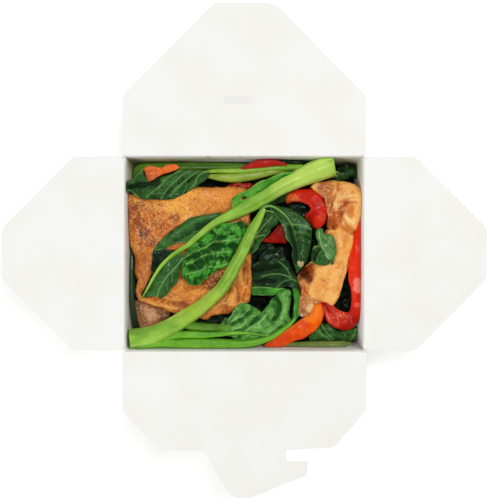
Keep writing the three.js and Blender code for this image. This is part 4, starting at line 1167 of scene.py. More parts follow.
tofuLooks = {
    "leftTofu": {
        "glazeAndPaintedLight": (104, 44, 14),
        "golden": (234, 148, 58), "brown": (190, 100, 36), "pale": (248, 180, 84),
        "peak": (252, 184, 98), "pit": (122, 46, 14), "burnt": (84, 28, 20), "side": (124, 54, 18),
        "edgeTop": 49.0, "edgeFoot": 44.0, "crisp": 0.3,
        # besides browning, some patches paint light and shade: the golden ones on the top and the pale ones on
        # the right strip are painted highlights, and the darker ones along the left edge, in the folds at the
        # lower right and under the front lip add painted shade
        "patches": [(182, 203, 28, 0.85, (250, 172, 74)), (222, 200, 20, 0.7, (236, 146, 62)), (131, 215, 14,
            0.8, (166, 72, 38)), (160, 232, 28, 0.7, (192, 88, 48)), (144, 232, 7, 0.8, (92, 44, 50)), (139,
            207, 6, 0.7, (118, 54, 46)), (175, 218, 7, 0.65, (138, 58, 44)), (155, 242, 6, 0.7, (108, 46, 40)),
            (158, 224, 7, 0.5, (130, 56, 44)), (172, 208, 8, 0.6, (255, 184, 80)), (140, 268, 16, 0.65,
            (184, 92, 34)), (213, 280, 12, 0.9, (96, 40, 14)), (160, 300, 14, 0.6, (208, 112, 34)), (190, 292,
            12, 0.6, (234, 148, 58)), (206, 284, 8, 0.6, (146, 66, 24)), (222, 268, 9, 0.85, (116, 44, 18)),
            (236, 276, 7, 0.75, (252, 178, 78)), (243, 290, 7, 0.7, (230, 122, 36)), (230, 301, 8, 0.7,
            (248, 176, 84)), (215, 309, 8, 0.6, (228, 142, 58)), (180, 309, 8, 0.7, (160, 78, 28)), (150, 288,
            8, 0.5, (208, 112, 40)), (246, 268, 6, 0.6, (206, 112, 36)), (196, 205, 10, 0.4, (196, 100, 40))],
        "rough": [(155, 228, 30), (142, 212, 16), (215, 278, 16), (165, 300, 16)]},
    "rightTofu": {
        "glazeAndPaintedLight": (164, 62, 10),
        "golden": (252, 192, 104), "brown": (232, 148, 64), "pale": (255, 208, 128),
        "peak": (255, 222, 154), "pit": (196, 100, 34), "burnt": (130, 58, 24), "side": (178, 92, 34),
        "edgeTop": 46.0, "edgeFoot": 41.0, "crisp": 0.1, "speckle": 0.2, "hollows": 0.35, "wet": 0.7,
        "patches": [(345, 206, 10, 0.75, (204, 96, 24)), (335, 216, 11, 0.85, (190, 82, 20)), (332, 224, 7, 0.7,
            (204, 104, 34)), (326, 190, 10, 0.85, (172, 84, 32)), (328, 205, 7, 0.7, (158, 62, 24)), (302, 291,
            6, 0.7, (196, 108, 42)), (320, 285, 8, 0.35, (236, 152, 68)), (348, 230, 8, 0.35, (222, 140, 60)),
            (352, 192, 9, 0.5, (238, 166, 84)), (341, 196, 5, 0.6, (250, 204, 130)), (350, 214, 5, 0.6,
            (200, 108, 40))],
        "rough": [(338, 210, 14), (327, 190, 11), (348, 196, 12), (306, 276, 9)],
        "caramel": [(305, 273, 11, 0.8, (160, 68, 18)), (304, 273, 7.5, 0.9, (72, 20, 4)), (309, 279, 4.5, 0.8,
            (84, 28, 8)), (299, 277, 2.6, 0.8, (214, 140, 84)), (311, 266, 3.5, 0.7, (120, 50, 16)), (303, 287,
            3, 0.5, (150, 74, 26)), (331, 222, 5, 0.6, (150, 60, 18)), (342, 213, 3, 0.6, (150, 60, 16)), (345,
            203, 2.5, 0.6, (140, 56, 16)), (334, 228, 3, 0.6, (132, 52, 16)), (320, 187, 4, 0.5,
            (120, 60, 26))]},
    "underTofu": {
        "glazeAndPaintedLight": (90, 44, 20),
        "golden": (208, 138, 82), "brown": (160, 90, 46), "pale": (232, 178, 124),
        "peak": (242, 204, 156), "pit": (98, 48, 24), "burnt": (76, 38, 26), "side": (88, 46, 24),
        "edgeTop": 43.0, "edgeFoot": 38.0, "crisp": 0.3, "wet": 0.4,
        # the dark patch at the right end, at (166, 318), paints shade
        "patches": [(136, 310, 7, 0.85, (96, 54, 30)), (150, 316, 7, 0.7, (226, 176, 132)), (143, 322, 5, 0.6,
            (150, 92, 62)), (166, 318, 8, 0.85, (60, 34, 20)), (158, 310, 5, 0.6, (112, 62, 36)), (311, 309, 6,
            0.8, (244, 206, 132)), (301, 316, 2.5, 0.9, (236, 226, 206)), (303, 304, 6, 0.7, (186, 108, 52)),
            (310, 301, 5, 0.6, (214, 140, 66)), (302, 311, 3, 0.6, (120, 60, 30))]},
}
materials |= {name: tofuMaterial(name, look) for name, look in tofuLooks.items()}
materials["carrot"] = softBitMaterial("carrot", (236, 118, 34), (208, 84, 20), 420)
materials["garlic"] = softBitMaterial("garlic", (196, 184, 136), (150, 134, 84), 500)


blockSettings = {
    "grid": (90, 30),
    "edge": 2.2,
    "slopeX": 0.0,
    "slopeY": 0.0,
    "lumps": 0.6,
    "lumpSize": 17.0,
    "blisters": 0.4,
    "blisterSize": 5.0,
    "crust": 0.2,
    "crustSize": 2.2,
    "lineRise": 0.45,
    "folds": [],
    "lines": [],
    "swells": [],
    "seed": 0.0,
}


def makeBlock(name, block, material):
    # rings from the middle of the underside, round the edge, to the middle of the top
    block = {**blockSettings, **block}
    around, topRings = block["grid"]
    outline = seen([(*p, block["top"]) for p in block["outline"]])[:, :2]
    # a line that runs past its own start, and from it one full turn
    steps, search = 3000, 1200
    looped = smoothPath(np.vstack([outline[-3:], outline, outline[:4]]), steps)
    start = np.argmin(np.linalg.norm(looped[:search] - outline[0], axis=1))
    end = steps - search + np.argmin(np.linalg.norm(looped[-search:] - outline[0], axis=1))
    rim = smoothPath(looped[start:end:8], around + 1)[:-1]
    middle = rim.mean(axis=0)
    bottom, top, edge = block["bottom"], block["top"], block["edge"]
    out = rim - middle
    length = np.linalg.norm(out, axis=1, keepdims=True)
    turns = np.linspace(0, math.pi / 2, 9)
    profile = [(1 - k, 0, bottom) for k in (0.999, 0.75, 0.5, 0.25)]
    profile += [(1.0, edge * (1 - math.sin(t)), bottom + edge * (1 - math.cos(t))) for t in turns]
    profile += [(1.0, 0.0, z) for z in np.linspace(bottom + edge, top - edge, 12)[1:-1]]
    profile += [(1.0, edge * (1 - math.cos(t)), top - edge * (1 - math.sin(t))) for t in turns]
    profile += [(s, edge, top) for s in np.linspace(1, 0.001, topRings)[1:]]
    rows = []
    for share, inset, height in profile:
        flat = middle + (out - out / length * min(inset, length.min() * 0.5)) * share
        rise = np.clip((height - bottom - edge) / max(top - bottom - edge, 1), 0, 1)
        slope = block["slopeX"] * (flat[:, 0] - middle[0]) + block["slopeY"] * (flat[:, 1] - middle[1])
        rows.append(np.column_stack([flat, height + slope * rise]))
    grid = np.array(rows)
    normals = gridNormals(grid, wrap=True)
    if normals[-topRings // 2, :, 2].mean() < 0:
        normals = -normals
    seed = block["seed"]
    lift = block["lumps"] * rough(grid, block["lumpSize"], 2, seed)
    lift = lift + block["blisters"] * rough(grid, block["blisterSize"], 3, seed + 5)
    grains = cellular(grid, block["crustSize"], seed) + 0.5 * rough(grid, 1.4, 2, seed)
    lift = lift + block["crust"] * (grains - 0.35)
    folded = foldLift(grid, block["folds"])
    rise = np.clip(lift / 1.5 + 0.6 * folded, -1, 1)
    drawn = drawnLines(grid, block["lines"]) * np.clip(1.2 + rough(grid, 2.0, 2, seed + 9), 0.3, 1)
    upward = np.clip(normals[..., 2] + 0.3, 0, 1)
    lift = lift + (folded + block["lineRise"] * drawn) * upward
    for x, y, radius, height in block["swells"]:
        away = np.linalg.norm(pixels(grid) - (x, y), axis=2) / radius
        lift = lift + height * np.exp(-(away**2)) * upward
    # no relief where the rings shrink to a point
    fade = np.ones(len(profile))
    fade[-4:] = (0.75, 0.5, 0.25, 0.0)
    fade[0] = 0.0
    points = keepInside(grid + normals * (lift * fade[:, None])[..., None]).reshape(-1, 3)
    faces = quads(len(profile), around, wrap=True)
    piece = makePiece(name, fanEnds(points, faces, around), faces, material)
    addValues(piece, "rise", np.r_[rise.ravel(), 0, 0])
    addValues(piece, "glazeAndPaintedLight", np.r_[drawn.ravel(), 0, 0])
    return piece


blocks = {
    "leftTofu": ("tofu_left", "tofu", "leftTofu", [{
        "outline": [(126.5, 195), (150, 190), (200, 187.5), (236, 187.5), (246, 189), (250, 198), (250, 215),
            (252, 240), (251, 262), (251, 275), (251.5, 288), (250, 300), (246, 305), (240, 309), (234, 311.5),
            (228, 315), (220, 316.5), (212, 317), (206, 321), (201, 320), (192, 317), (182, 315), (172, 313.5),
            (163, 311), (156, 308), (150, 306), (143, 301), (137, 299), (134.5, 291), (136.5, 283),
            (134.5, 272), (134.5, 255), (130.5, 243), (128.5, 230), (127, 213)],
        "bottom": 29, "top": 51.4, "slopeX": -0.035, "slopeY": 0.05, "edge": 3.4, "grid": (440, 190),
        "lumps": 1.1, "blisters": 0.65, "crust": 0.45, "seed": 1.0,
        "swells": [(190, 215, 40, 0.6), (141, 297, 5, 0.8), (206, 318, 5, 0.8)],
        # the pale line along the front lip and the pale ones on the right strip paint highlights, and the dark
        # line just under the lip paints its shadow; the other dark lines are glaze
        "lines": [(-0.8, 1.7, [(149, 304.5), (156, 307.5), (162, 308)]),
            (0.7, 1.4, [(143, 300), (150, 302.5), (158, 304), (167, 306.5), (176, 308)]),
            (-0.5, 1.2, [(163, 299), (172, 303), (183, 304.5)]),
            (0.5, 1.2, [(160, 295), (170, 299), (182, 300.5)]),
            (-0.7, 1.6, [(246, 262), (248, 272), (247, 284)]), (0.8, 1.3, [(241, 268), (242, 280), (244, 292)]),
            (-0.7, 1.2, [(238, 276), (237, 286), (239, 298)]), (0.7, 1.3, [(232, 284), (235, 292), (232, 300)]),
            (-0.6, 1.1, [(229, 292), (226, 300), (219, 307)]),
            (0.7, 1.4, [(214, 308), (224, 303), (234, 305), (242, 303)]), (-0.7, 1.2, [(245, 290), (243, 300)]),
            (0.4, 1.2, [(143, 240), (146, 255), (148, 270)]), (-0.4, 1.1, [(138, 262), (141, 275), (146, 284)]),
            (-0.5, 1.3, [(186, 290), (196, 288), (206, 282)])],
        "folds": [(1.1, 3.0, [(140, 300), (150, 304), (160, 306), (172, 309), (185, 311)]),
            (-1.0, 2.5, [(142, 292), (155, 299), (170, 302), (185, 304)]),
            (0.8, 2.2, [(239, 265), (237, 283), (232, 303)]),
            (-0.9, 2.0, [(243.5, 265), (242, 285), (238, 303)]),
            (-0.8, 2.0, [(232, 285), (225, 296), (214, 306)]), (1.0, 2.5, [(205, 297), (215, 289), (226, 283)]),
            (-1.0, 2.0, [(200, 304), (212, 298), (223, 292)]), (1.0, 2.0, [(228, 262), (226, 275), (220, 286)]),
            (0.8, 3.0, [(134, 200), (133, 225), (139, 250)]), (-0.7, 2.5, [(140, 215), (141, 240), (147, 262)]),
            (-0.9, 2.0, [(186, 288), (200, 284), (214, 276)])]}]),
    "rightTofu": ("tofu_right", "tofu", "rightTofu", [{
        "outline": [(322, 184), (330, 180.5), (341, 181), (352, 184), (361, 190), (365, 197), (364.5, 205),
            (363, 212), (360, 221), (358, 229), (355.5, 234), (355.5, 242), (352, 252), (349, 261), (347, 273),
            (344, 284), (341, 294), (337, 302), (332, 307), (326, 304), (318, 301.5), (307, 299.5),
            (300.5, 298), (299.5, 288), (296.5, 280), (298, 273), (304, 268.5), (311, 265), (316, 256),
            (322, 242), (326, 230), (328, 218), (329, 207), (326, 195)],
        "bottom": 31, "top": 52.4, "slopeX": 0.15, "slopeY": 0.02, "edge": 4.4, "grid": (340, 140),
        "lumps": 0.9, "blisters": 0.35, "crust": 0.14, "seed": 4.0,
        "swells": [(354, 200, 12, 1.4), (348, 222, 7, 0.8), (338, 250, 12, 0.8), (322, 290, 10, 0.8)],
        "lines": [(-0.8, 1.6, [(338, 184), (337, 192), (333, 200), (331, 208)]),
            (-0.8, 1.3, [(340, 209), (345, 205), (351, 202), (356, 202.5)]),
            (-0.7, 1.3, [(340, 212), (342, 217), (340, 222)]),
            (-0.8, 1.3, [(344, 220), (347, 226), (352, 230), (356, 231)]),
            (-0.8, 1.8, [(334, 213), (334, 220), (336, 226)]),
            (-0.7, 1.3, [(329, 216), (330, 223), (328, 229)]),
            (-0.6, 1.1, [(325, 188), (328, 193), (327, 199)]), (0.7, 1.2, [(332, 202), (337, 206), (336, 210)]),
            (0.7, 1.6, [(345, 215), (349, 221), (354, 225)]), (0.6, 1.2, [(341, 196), (347, 197), (356, 195)]),
            (0.8, 1.0, [(296, 276.5), (300, 277.5), (305, 277)]),
            (-1.0, 2.2, [(300, 272), (305, 270), (311, 271), (312, 277), (309, 283)]),
            (-0.7, 1.6, [(303, 284), (305, 291), (309, 297)]), (-0.5, 1.3, [(321, 279), (326, 283)]),
            (-0.5, 1.1, [(311, 264), (318, 266), (324, 265)]),
            (-0.4, 1.2, [(344, 262), (342, 276), (338, 290)])],
        "folds": [(-2.2, 1.7, [(324, 229), (334, 227), (341, 226.5), (345, 229.5), (351, 233), (358, 233)]),
            (1.0, 2.5, [(333, 184), (336, 198), (333, 212), (331, 224)]),
            (-1.5, 2.0, [(340, 190), (343, 203), (339, 215)]), (1.1, 1.6, [(345, 186), (349, 198), (346, 210)]),
            (-1.0, 1.4, [(352, 190), (354, 204), (350, 216)]), (0.9, 1.5, [(328, 186), (331, 194), (337, 199)]),
            (0.8, 2.0, [(337, 208), (346, 204), (354, 201)]), (-3.4, 3.6, [(296, 276), (303, 273), (311, 268)]),
            (1.4, 1.4, [(296, 273), (300, 275), (302, 280)]), (-1.2, 2.0, [(308, 283), (306, 292), (302, 298)]),
            (0.7, 2.5, [(316, 276), (311, 290)]), (-0.7, 2.0, [(330, 270), (326, 290)]),
            (-0.8, 1.6, [(345, 240), (343, 255), (338, 268)])]},
        {"outline": [(311, 186.5), (319, 182), (331, 182), (337, 189), (334, 198), (327, 199),
            (318, 193)], "bottom": 36, "top": 53.4, "edge": 2.8, "grid": (110, 40), "seed": 6.0}]),
    "cornerTofu": ("tofu_corner", "tofu", "underTofu", [
        {"outline": [(298, 297), (306, 295), (318, 297), (325, 304), (318, 312), (308, 319),
            (299, 314), (296, 305)], "bottom": 36, "top": 47.6}]),
    "underTofu": ("tofu_under", "tofu", "underTofu", [
        {"outline": [(135, 302), (150, 300), (168, 303), (169, 318), (158, 329), (142, 330),
            (135, 322)], "bottom": 34, "top": 46.5, "grid": (110, 36)}]),
    "frontTofu": ("tofu_front", "tofu", "underTofu", [
        {"outline": [(148, 331), (182, 331), (183, 347), (166, 349.5), (149, 348)], "bottom": 38,
            "top": 49}]),
    "carrotSlice": ("carrot_slice", "carrot", "carrot", [
        {"outline": [(143.8, 168), (150.5, 166), (155.5, 166.8), (162.2, 167.2), (168, 164.7), (175.5, 164.7),
            (179.3, 168), (171, 172), (164.7, 173.8), (158, 177.2), (151.3, 181.3), (148, 181.3), (146.3, 178),
            (144.7, 171.3)], "bottom": 48.4, "top": 52, "edge": 0.9, "grid": (130, 36), "lumps": 0.4,
            "blisters": 0.35, "crust": 0.1}]),
    "garlicBit": ("garlic_bit", "garlic", "garlic", [
        {"outline": [(297.5, 261), (300.5, 259), (303.5, 261), (303.8, 265), (301, 267.5), (297.8, 265.5)],
            "bottom": 48.6, "top": 53.4, "edge": 1.4, "grid": (50, 14), "lumps": 0.3, "blisters": 0.2,
            "crust": 0.05}]),
}

for name, (node, slot, finish, parts) in blocks.items():
    makeFood(name, node, [makeBlock(f"{name}Part{i}", part, materials[finish])
                                for i, part in enumerate(parts)])


pepperLooks = {
    "redPepper": {
        "deep": (156, 16, 4), "bright": (206, 30, 8), "flesh": (214, 46, 10), "edge": (244, 132, 76),
        # the pink patches at (357, 282), (357, 289) and (357, 305) on the side strip and at (322, 217) on the
        # ring paint highlights
        "patches": [(304, 195, 16, 0.6, (208, 38, 10)), (288, 198, 7, 0.85, (206, 92, 30)), (296, 200, 5, 0.6,
            (224, 120, 70)), (318, 222, 8, 0.6, (226, 50, 24)), (356, 250, 34, 0.8, (236, 48, 12)), (356, 290,
            22, 0.6, (236, 48, 12)), (357, 282, 5, 0.75, (250, 138, 120)), (357, 289, 5, 0.75, (250, 138, 120)),
            (357, 305, 3, 0.6, (244, 112, 96)), (322, 217, 5, 0.3, (240, 96, 72)), (338, 318, 12, 0.6,
            (190, 40, 28)), (277, 235, 14, 0.7, (140, 26, 16)), (240, 187, 14, 0.7, (120, 24, 22)), (262, 163,
            26, 0.5, (164, 44, 40))],
        "rough": [(338, 317, 10), (240, 187, 12), (293, 199, 6)]},
    "orangePepper": {
        "deep": (216, 62, 12), "bright": (240, 100, 10), "flesh": (240, 120, 30), "edge": (248, 160, 80),
        "patches": [(312, 312, 12, 0.7, (248, 128, 12)), (276, 343, 12, 0.6, (206, 56, 24))],
        "rough": []}}
materials |= {name: pepperMaterial(name, look) for name, look in pepperLooks.items()}
pepperSettings = {"rings": 130, "sides": 48, "thick": 4.0, "blunt": 2.5, "bow": 0.4, "lumps": 0.5, "folds": []}


def makeStrip(name, strip, material, seed):
    # a cut strip between its skin edge and its cut edge, rounded across
    s = {**pepperSettings, **strip}
    rings, sides = s["rings"], s["sides"]
    outer, inner = smoothPath(seen(s["outer"]), rings), smoothPath(seen(s["inner"]), rings)
    middle, half = (outer + inner) / 2, (outer - inner) / 2
    tangent = np.gradient(middle, axis=0)
    tangent /= np.linalg.norm(tangent, axis=1, keepdims=True)
    up = np.cross(tangent, half)
    up /= np.linalg.norm(up, axis=1, keepdims=True)
    up *= np.sign(up[:, 2:3])
    run = np.r_[0, np.cumsum(np.linalg.norm(np.diff(middle, axis=0), axis=1))]
    fromEnd = np.minimum(run, run[-1] - run)
    taper = np.sqrt(np.clip(1 - (1 - np.clip(fromEnd / s["blunt"], 0, 1)) ** 2, 0.01, 1))[:, None, None]
    angle = np.linspace(0, 2 * math.pi, sides, endpoint=False)
    c, n = np.cos(angle), np.sin(angle)
    across = np.sign(c) * np.abs(c) ** 0.62
    rise = np.sign(n) * np.abs(n) ** 0.8 * np.where(n > 0, 1.0, 0.8) + s["bow"] * (1 - across**2) * 0.5
    grid = (middle[:, None] + half[:, None] * across[None, :, None] * (0.6 + 0.4 * taper)
            + up[:, None] * (rise * s["thick"] / 2)[None, :, None] * taper)
    normals = gridNormals(grid, wrap=True)
    if ((grid - middle[:, None]) * normals).sum() < 0:
        normals = -normals
    lump = s["lumps"] * rough(grid, 9.0, 2, seed) + 0.1 * rough(grid, 2.5, 2, seed)
    lump += foldLift(grid, s["folds"]) * np.clip(normals[..., 2], 0, 1)
    points = keepInside(grid + normals * lump[..., None]).reshape(-1, 3)
    faces = quads(rings, sides, wrap=True)
    points = fanEnds(points, faces, sides)
    u, v = np.linspace(0, 1, sides, endpoint=False), np.linspace(0, 1, rings)
    uv = np.stack(np.broadcast_arrays(u[None, :], v[:, None]), axis=2).reshape(-1, 2)
    return makePiece(name, points, faces, material, np.vstack([uv, (0.25, 0), (0.25, 1)]))


pepperStrips = {
    "pepperRing": ("pepper_ring", "red_pepper", "redPepper", [{
        "outer": [(286, 201, 46), (287, 195, 47), (293, 191, 47.6), (302, 189, 48), (312, 190, 48.6),
            (319, 193.5, 49), (324.5, 199, 49.4), (328, 206, 49.6), (328.6, 213, 49.4), (327.5, 219, 49)],
        "inner": [(287.5, 204.5, 46), (290, 203, 47), (295, 202.3, 48), (301, 202.8, 49), (307, 204.5, 50),
            (310, 207.5, 50.6), (310.5, 210, 50.6), (308, 213, 50.2), (306, 215.5, 49.6), (304.5, 217, 49)],
        "thick": 5.0, "folds": [(0.8, 1.5, [(311, 209), (318, 211), (327, 208)])]},
        {"outer": [(327.8, 209, 49.6), (328.4, 214, 49.2), (326.5, 220.5, 48.4), (322, 226, 47.4),
            (319, 228.5, 46.6)], "inner": [(311, 210, 50.4), (307, 213.5, 50.4), (304.5, 217, 49.6),
            (309, 223, 48.2), (314, 229, 46.6)], "thick": 5.0, "rings": 60,
            "folds": [(0.9, 1.2, [(320, 213), (319, 220), (317, 228)])]}]),
    "pepperSide": ("pepper_side", "red_pepper", "redPepper", [{
        "outer": [(363.2, 213, 52), (363.5, 235, 52.5), (363.5, 260, 52.5), (363.3, 280, 52.5),
            (362.6, 296, 52), (361.5, 308, 51.6), (359.5, 318, 51), (356, 325, 50), (350, 329.5, 49),
            (342, 329.5, 48.5), (334, 327.5, 48), (328, 323, 47.6), (324.5, 316, 47.2), (322, 307, 46.8),
            (320, 301, 46.5)],
        "inner": [(357, 214, 50), (354, 232, 50.6), (350.5, 250, 51), (348, 266, 51), (348, 278, 51),
            (350, 286, 51), (351.5, 295, 51), (351.5, 303, 50.8), (350.3, 309.5, 50.4), (347.5, 312.5, 50),
            (343, 311.5, 49.6), (338, 309.5, 49), (334, 306, 48.4), (331, 302, 47.8), (329, 298, 47.2)],
        "thick": 5.2, "rings": 200, "folds": [(1.0, 1.6, [(356, 240), (355.5, 270), (356.5, 300), (352, 316)]),
            (-0.8, 1.4, [(347, 313), (350, 320), (352, 328)])]}]),
    "pepperOrange": ("pepper_orange", "orange_pepper", "orangePepper", [{
        "outer": [(270, 349.6, 49.3), (279, 349.4, 49.5), (286, 346, 49.5), (294, 341.5, 49.5),
            (302, 339.5, 49.5), (310, 335, 49.4), (316, 330, 49.2), (321, 323, 49), (323.8, 315, 48.6),
            (323.5, 308, 48), (322, 303, 47.4)],
        "inner": [(261.5, 348.5, 49), (267, 343, 49.4), (272, 339, 49.6), (278, 334.5, 50), (285, 330, 50.2),
            (291, 326, 50.2), (296, 322.5, 50.2), (301, 319.5, 50), (306, 316.5, 49.8), (310.5, 313, 49.4),
            (313, 308.5, 49), (314.5, 304, 48)],
        "thick": 5.0, "folds": [(0.6, 1.0, [(284, 340), (293, 335.5), (302, 332), (309, 326)])]}]),
    "pepperBack": ("pepper_back", "red_pepper", "redPepper", [{
        "outer": [(241, 167.5, 50), (248.5, 163.8, 52), (255.2, 160.8, 53), (263.5, 159, 53.6),
            (273.5, 159, 53.8), (280.2, 160.8, 53), (287, 163.5, 52)],
        "inner": [(241.5, 169, 50), (252, 168.6, 51), (262, 167.6, 51.6), (270, 166.5, 52), (277, 165.8, 52),
            (282.7, 165.2, 51.6), (287, 165, 51)],
        "thick": 4.0, "rings": 70, "blunt": 1.0}]),
    "pepperMiddle": ("pepper_middle", "red_pepper", "redPepper", [{
        "outer": [(262, 242, 43), (272, 243, 43.6), (281, 243.5, 44), (288, 244, 44)],
        "inner": [(262, 240.5, 43), (270, 234.5, 44), (277, 227, 45), (283, 222, 45)],
        "thick": 4.0, "rings": 50, "blunt": 1.5}]),
    "pepperLow": ("pepper_low", "red_pepper", "redPepper", [{
        "outer": [(226, 185, 43), (236, 183, 44), (246, 183, 44.5), (254, 185, 44)],
        "inner": [(227, 189, 43), (236, 191.5, 44.5), (246, 192, 44.8), (253, 190, 44)],
        "thick": 4.0, "rings": 90, "sides": 64, "lumps": 1.7}]),
}
for i, (name, (node, slot, finish, strips)) in enumerate(pepperStrips.items()):
    makeFood(name, node, [makeStrip(f"{name}Part{k}", strip, materials[finish], 30.0 + i + 0.3 * k)
                                for k, strip in enumerate(strips)])
print("tofu, pepper, carrot and garlic made")


bed = {"columns": 44, "rows": 36, "level": 35.0, "bumps": 2.0, "floor": 1.0, "gap": 0.8, "leaves": 130,
       "leafLength": 24.0, "leafGap": 13.0, "leafLevel": 38.6, "leafTop": 43.5, "seed": 7}
materials["bed"] = bedMaterial()


def makeBedCore():
    level, floor = bed["level"], bed["floor"]
    (topX, topY), (lowX, lowY) = ([h - bed["gap"] for h in insideHalf(z)] for z in (level, floor))
    rings = []
    for alongX in np.linspace(-1, 1, bed["columns"]):
        ring = []
        for alongY in np.linspace(-1, 1, bed["rows"]):
            x, y = alongX * topX, alongY * topY
            ring.append((x, y, level + bed["bumps"] * (1 + noise.noise(Vector((x, y, 0)) / 9))))
        ring += [(alongX * lowX, alongY * lowY, floor) for alongY in np.linspace(1, -1, 5)]
        rings.append(ring)
    count, total = len(ring), len(rings) * len(ring)
    faces = quads(len(rings), count, wrap=True) + flatEnds(total, count)
    return makePiece("bedCore", rings, faces, materials["bed"])


def bedTree():
    # copies of one shape, scattered and turned at random
    g, ground, shape, density, seed, smallest, largest, material = newTree("scatter", {
        "Shape": "Object", "Density": "Float", "Seed": "Int", "Smallest": "Float", "Largest": "Float",
        "Material": "Material"})
    points = g.node("GeometryNodeDistributePointsOnFaces", {},
                    {"Mesh": ground, "Density": density, "Seed": seed})
    turn = g.node("FunctionNodeRandomValue", {"data_type": "FLOAT_VECTOR"},
                  {0: (-0.5, -0.5, 0), 1: (0.5, 0.5, 2 * math.pi), "Seed": seed})
    size = g.node("FunctionNodeRandomValue", {"data_type": "FLOAT"}, {2: smallest, 3: largest, "Seed": seed}, 1)
    info = g.node("GeometryNodeObjectInfo", {}, {"Object": shape}, "Geometry")
    made = g.node("GeometryNodeInstanceOnPoints", {},
                  {"Points": points, "Instance": info, "Rotation": turn, "Scale": size})
    return finishTree(g, made, material)


def makeBedLeaves(leaf):
    # curled leaves lie at all angles on a sheet just over the core
    x, y = (h - bed["leafGap"] for h in insideHalf(bed["level"]))
    z = bed["leafLevel"]
    ground = makePiece("bedLeaves", [(-x, -y, z), (x, -y, z), (x, y, z), (-x, y, z)], [(0, 1, 2, 3)],
                       materials["bed"])
    area = 4 * x * y * mm * mm
    addNodes(ground, bedTree(), Shape=leaf, Density=bed["leaves"] / area, Seed=bed["seed"], Smallest=0.6,
             Largest=1.0, Material=materials["bed"])
    plainMesh(ground)
    bpy.data.objects.remove(leaf)
    setPoints(ground, keepInside(meshPoints(ground), gap=0.6, ceiling=bed["leafTop"]))
    return ground


half = bed["leafLength"] / 2
# a leaf of its own size that the heap's leaves are copies of
curledLeaf = makeBlade("curledLeaf", {
    "plain": True, "left": [(-half, 1, 0), (-4, 8, -1), (6, 7, 0), (half, 0.5, 0)],
    "rib": [(-half, 0, 1), (-4, 0, 2.6), (6, 0, 2), (half, 0, 0)],
    "right": [(-half, -1, 0), (-4, -8, 0), (6, -6, -1), (half, -0.5, 0)],
    "grid": (11, 7), "crinkle": 0.8, "thickness": 0.6, "ruffle": 1.2}, materials["bed"], 40.0)
gapBlades = [
    ("innerLeaf", {"left": [(256, 205, 47), (266, 197, 48), (278, 190, 48.4), (290, 186, 48)],
        "rib": [(260, 209, 49), (270, 202, 50), (281, 195, 50), (292, 190, 49)], "right": [(264, 214, 47),
        (275, 208, 47.6), (285, 201, 47.6), (294, 195, 47)]}),
    ("shadedLeaf", {"left": [(286, 204, 41), (294, 201, 42.4), (304, 203, 42.6), (312, 209, 42)],
        "rib": [(288, 212, 42.6), (297, 210, 43.8), (306, 212, 44), (313, 216, 43)], "right": [(291, 222, 41),
        (300, 222, 42), (308, 224, 42), (315, 226, 41)]}),
    ("shadedLeaf", {"left": [(311, 228, 43), (313, 236, 44), (312, 244, 44)], "rib": [(318, 227, 44),
        (320, 236, 45.4), (319, 246, 45)], "right": [(326, 229, 43), (327, 238, 44), (325, 247, 44)]}),
    ("innerLeaf", {"left": [(333, 172, 45), (341, 166, 46), (349, 163, 46), (356, 165, 45)],
        "rib": [(334, 178, 46), (342, 173, 47.6), (350, 170, 47.6), (356, 171, 46)], "right": [(336, 183, 44.5),
        (345, 180, 45.4), (352, 178, 45.4), (357, 178, 44.6)]}),
    ("shadedLeaf", {"left": [(196, 318, 43), (206, 319, 44), (216, 317, 44), (226, 314, 43)],
        "rib": [(196, 323, 44.6), (207, 324, 46), (218, 322, 46), (229, 318, 44.6)], "right": [(198, 330, 43),
        (208, 331, 43.4), (219, 329, 43.4), (230, 325, 43)]}),
    ("shadedLeaf", {"left": [(338, 276, 36), (341, 290, 37), (338, 306, 37)], "rib": [(345, 276, 37.6),
        (347, 290, 39), (345, 308, 38.6)], "right": [(351, 276, 36), (353, 290, 37), (352, 308, 37)]}),
]
settle(makeBedCore(), "box", "greens_heap")
gapBlade = {"grid": (60, 40), "crinkle": 1.0, "quilt": 0.3, "veins": 4}
bedLeaves = join("bedLeaves", [makeBedLeaves(curledLeaf)] + [
    makeBlade(f"gapBlade{i}", {**gapBlade, **blade}, materials[finish], 50.0 + 3 * i)
    for i, (finish, blade) in enumerate(gapBlades)])
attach(bedLeaves, "box")
print("heap made,", len(bedLeaves.data.polygons), "leaf faces")


def wallRing(z, offset, radius, bulge, tops=None):
    # one closed line round the tray at a height, anticlockwise seen from above
    halfX, halfY = insideHalf(z if tops is None else carton["rimTops"]["end"])
    halfX, halfY = halfX + offset, halfY + offset
    radius = radius + offset
    line = []
    sides = [("end", 1, 0), ("back", 0, 1), ("end", -1, 0), ("front", 0, -1)]
    for k, (kind, dx, dy) in enumerate(sides):
        height = z if tops is None else tops[kind]
        if tops is not None:
            halfX, halfY = (h + offset for h in insideHalf(height))
        swell = bulge if kind != "end" else 0.0
        run = (halfY if dx else halfX) - radius
        for s in np.linspace(-1, 1, 25):
            push = swell * math.cos(s * math.pi / 2)
            line.append((dx * (halfX + push) - dy * s * run, dy * (halfY + push) + dx * s * run, height))
        turn = k * math.pi / 2
        nextTop = z if tops is None else tops[sides[(k + 1) % 4][0]]
        cx, cy = halfX - radius, halfY - radius
        sx, sy = [(1, 1), (-1, 1), (-1, -1), (1, -1)][k]
        for a in np.linspace(0, math.pi / 2, 7)[1:-1]:
            share = a / (math.pi / 2)
            # the corner stays as low as the end wall, so that the closed end flap clears it
            share = share**6 if kind == "end" else 1 - (1 - share) ** 6
            line.append((sx * cx + radius * math.cos(turn + a), sy * cy + radius * math.sin(turn + a),
                         height + (nextTop - height) * share))
    return line


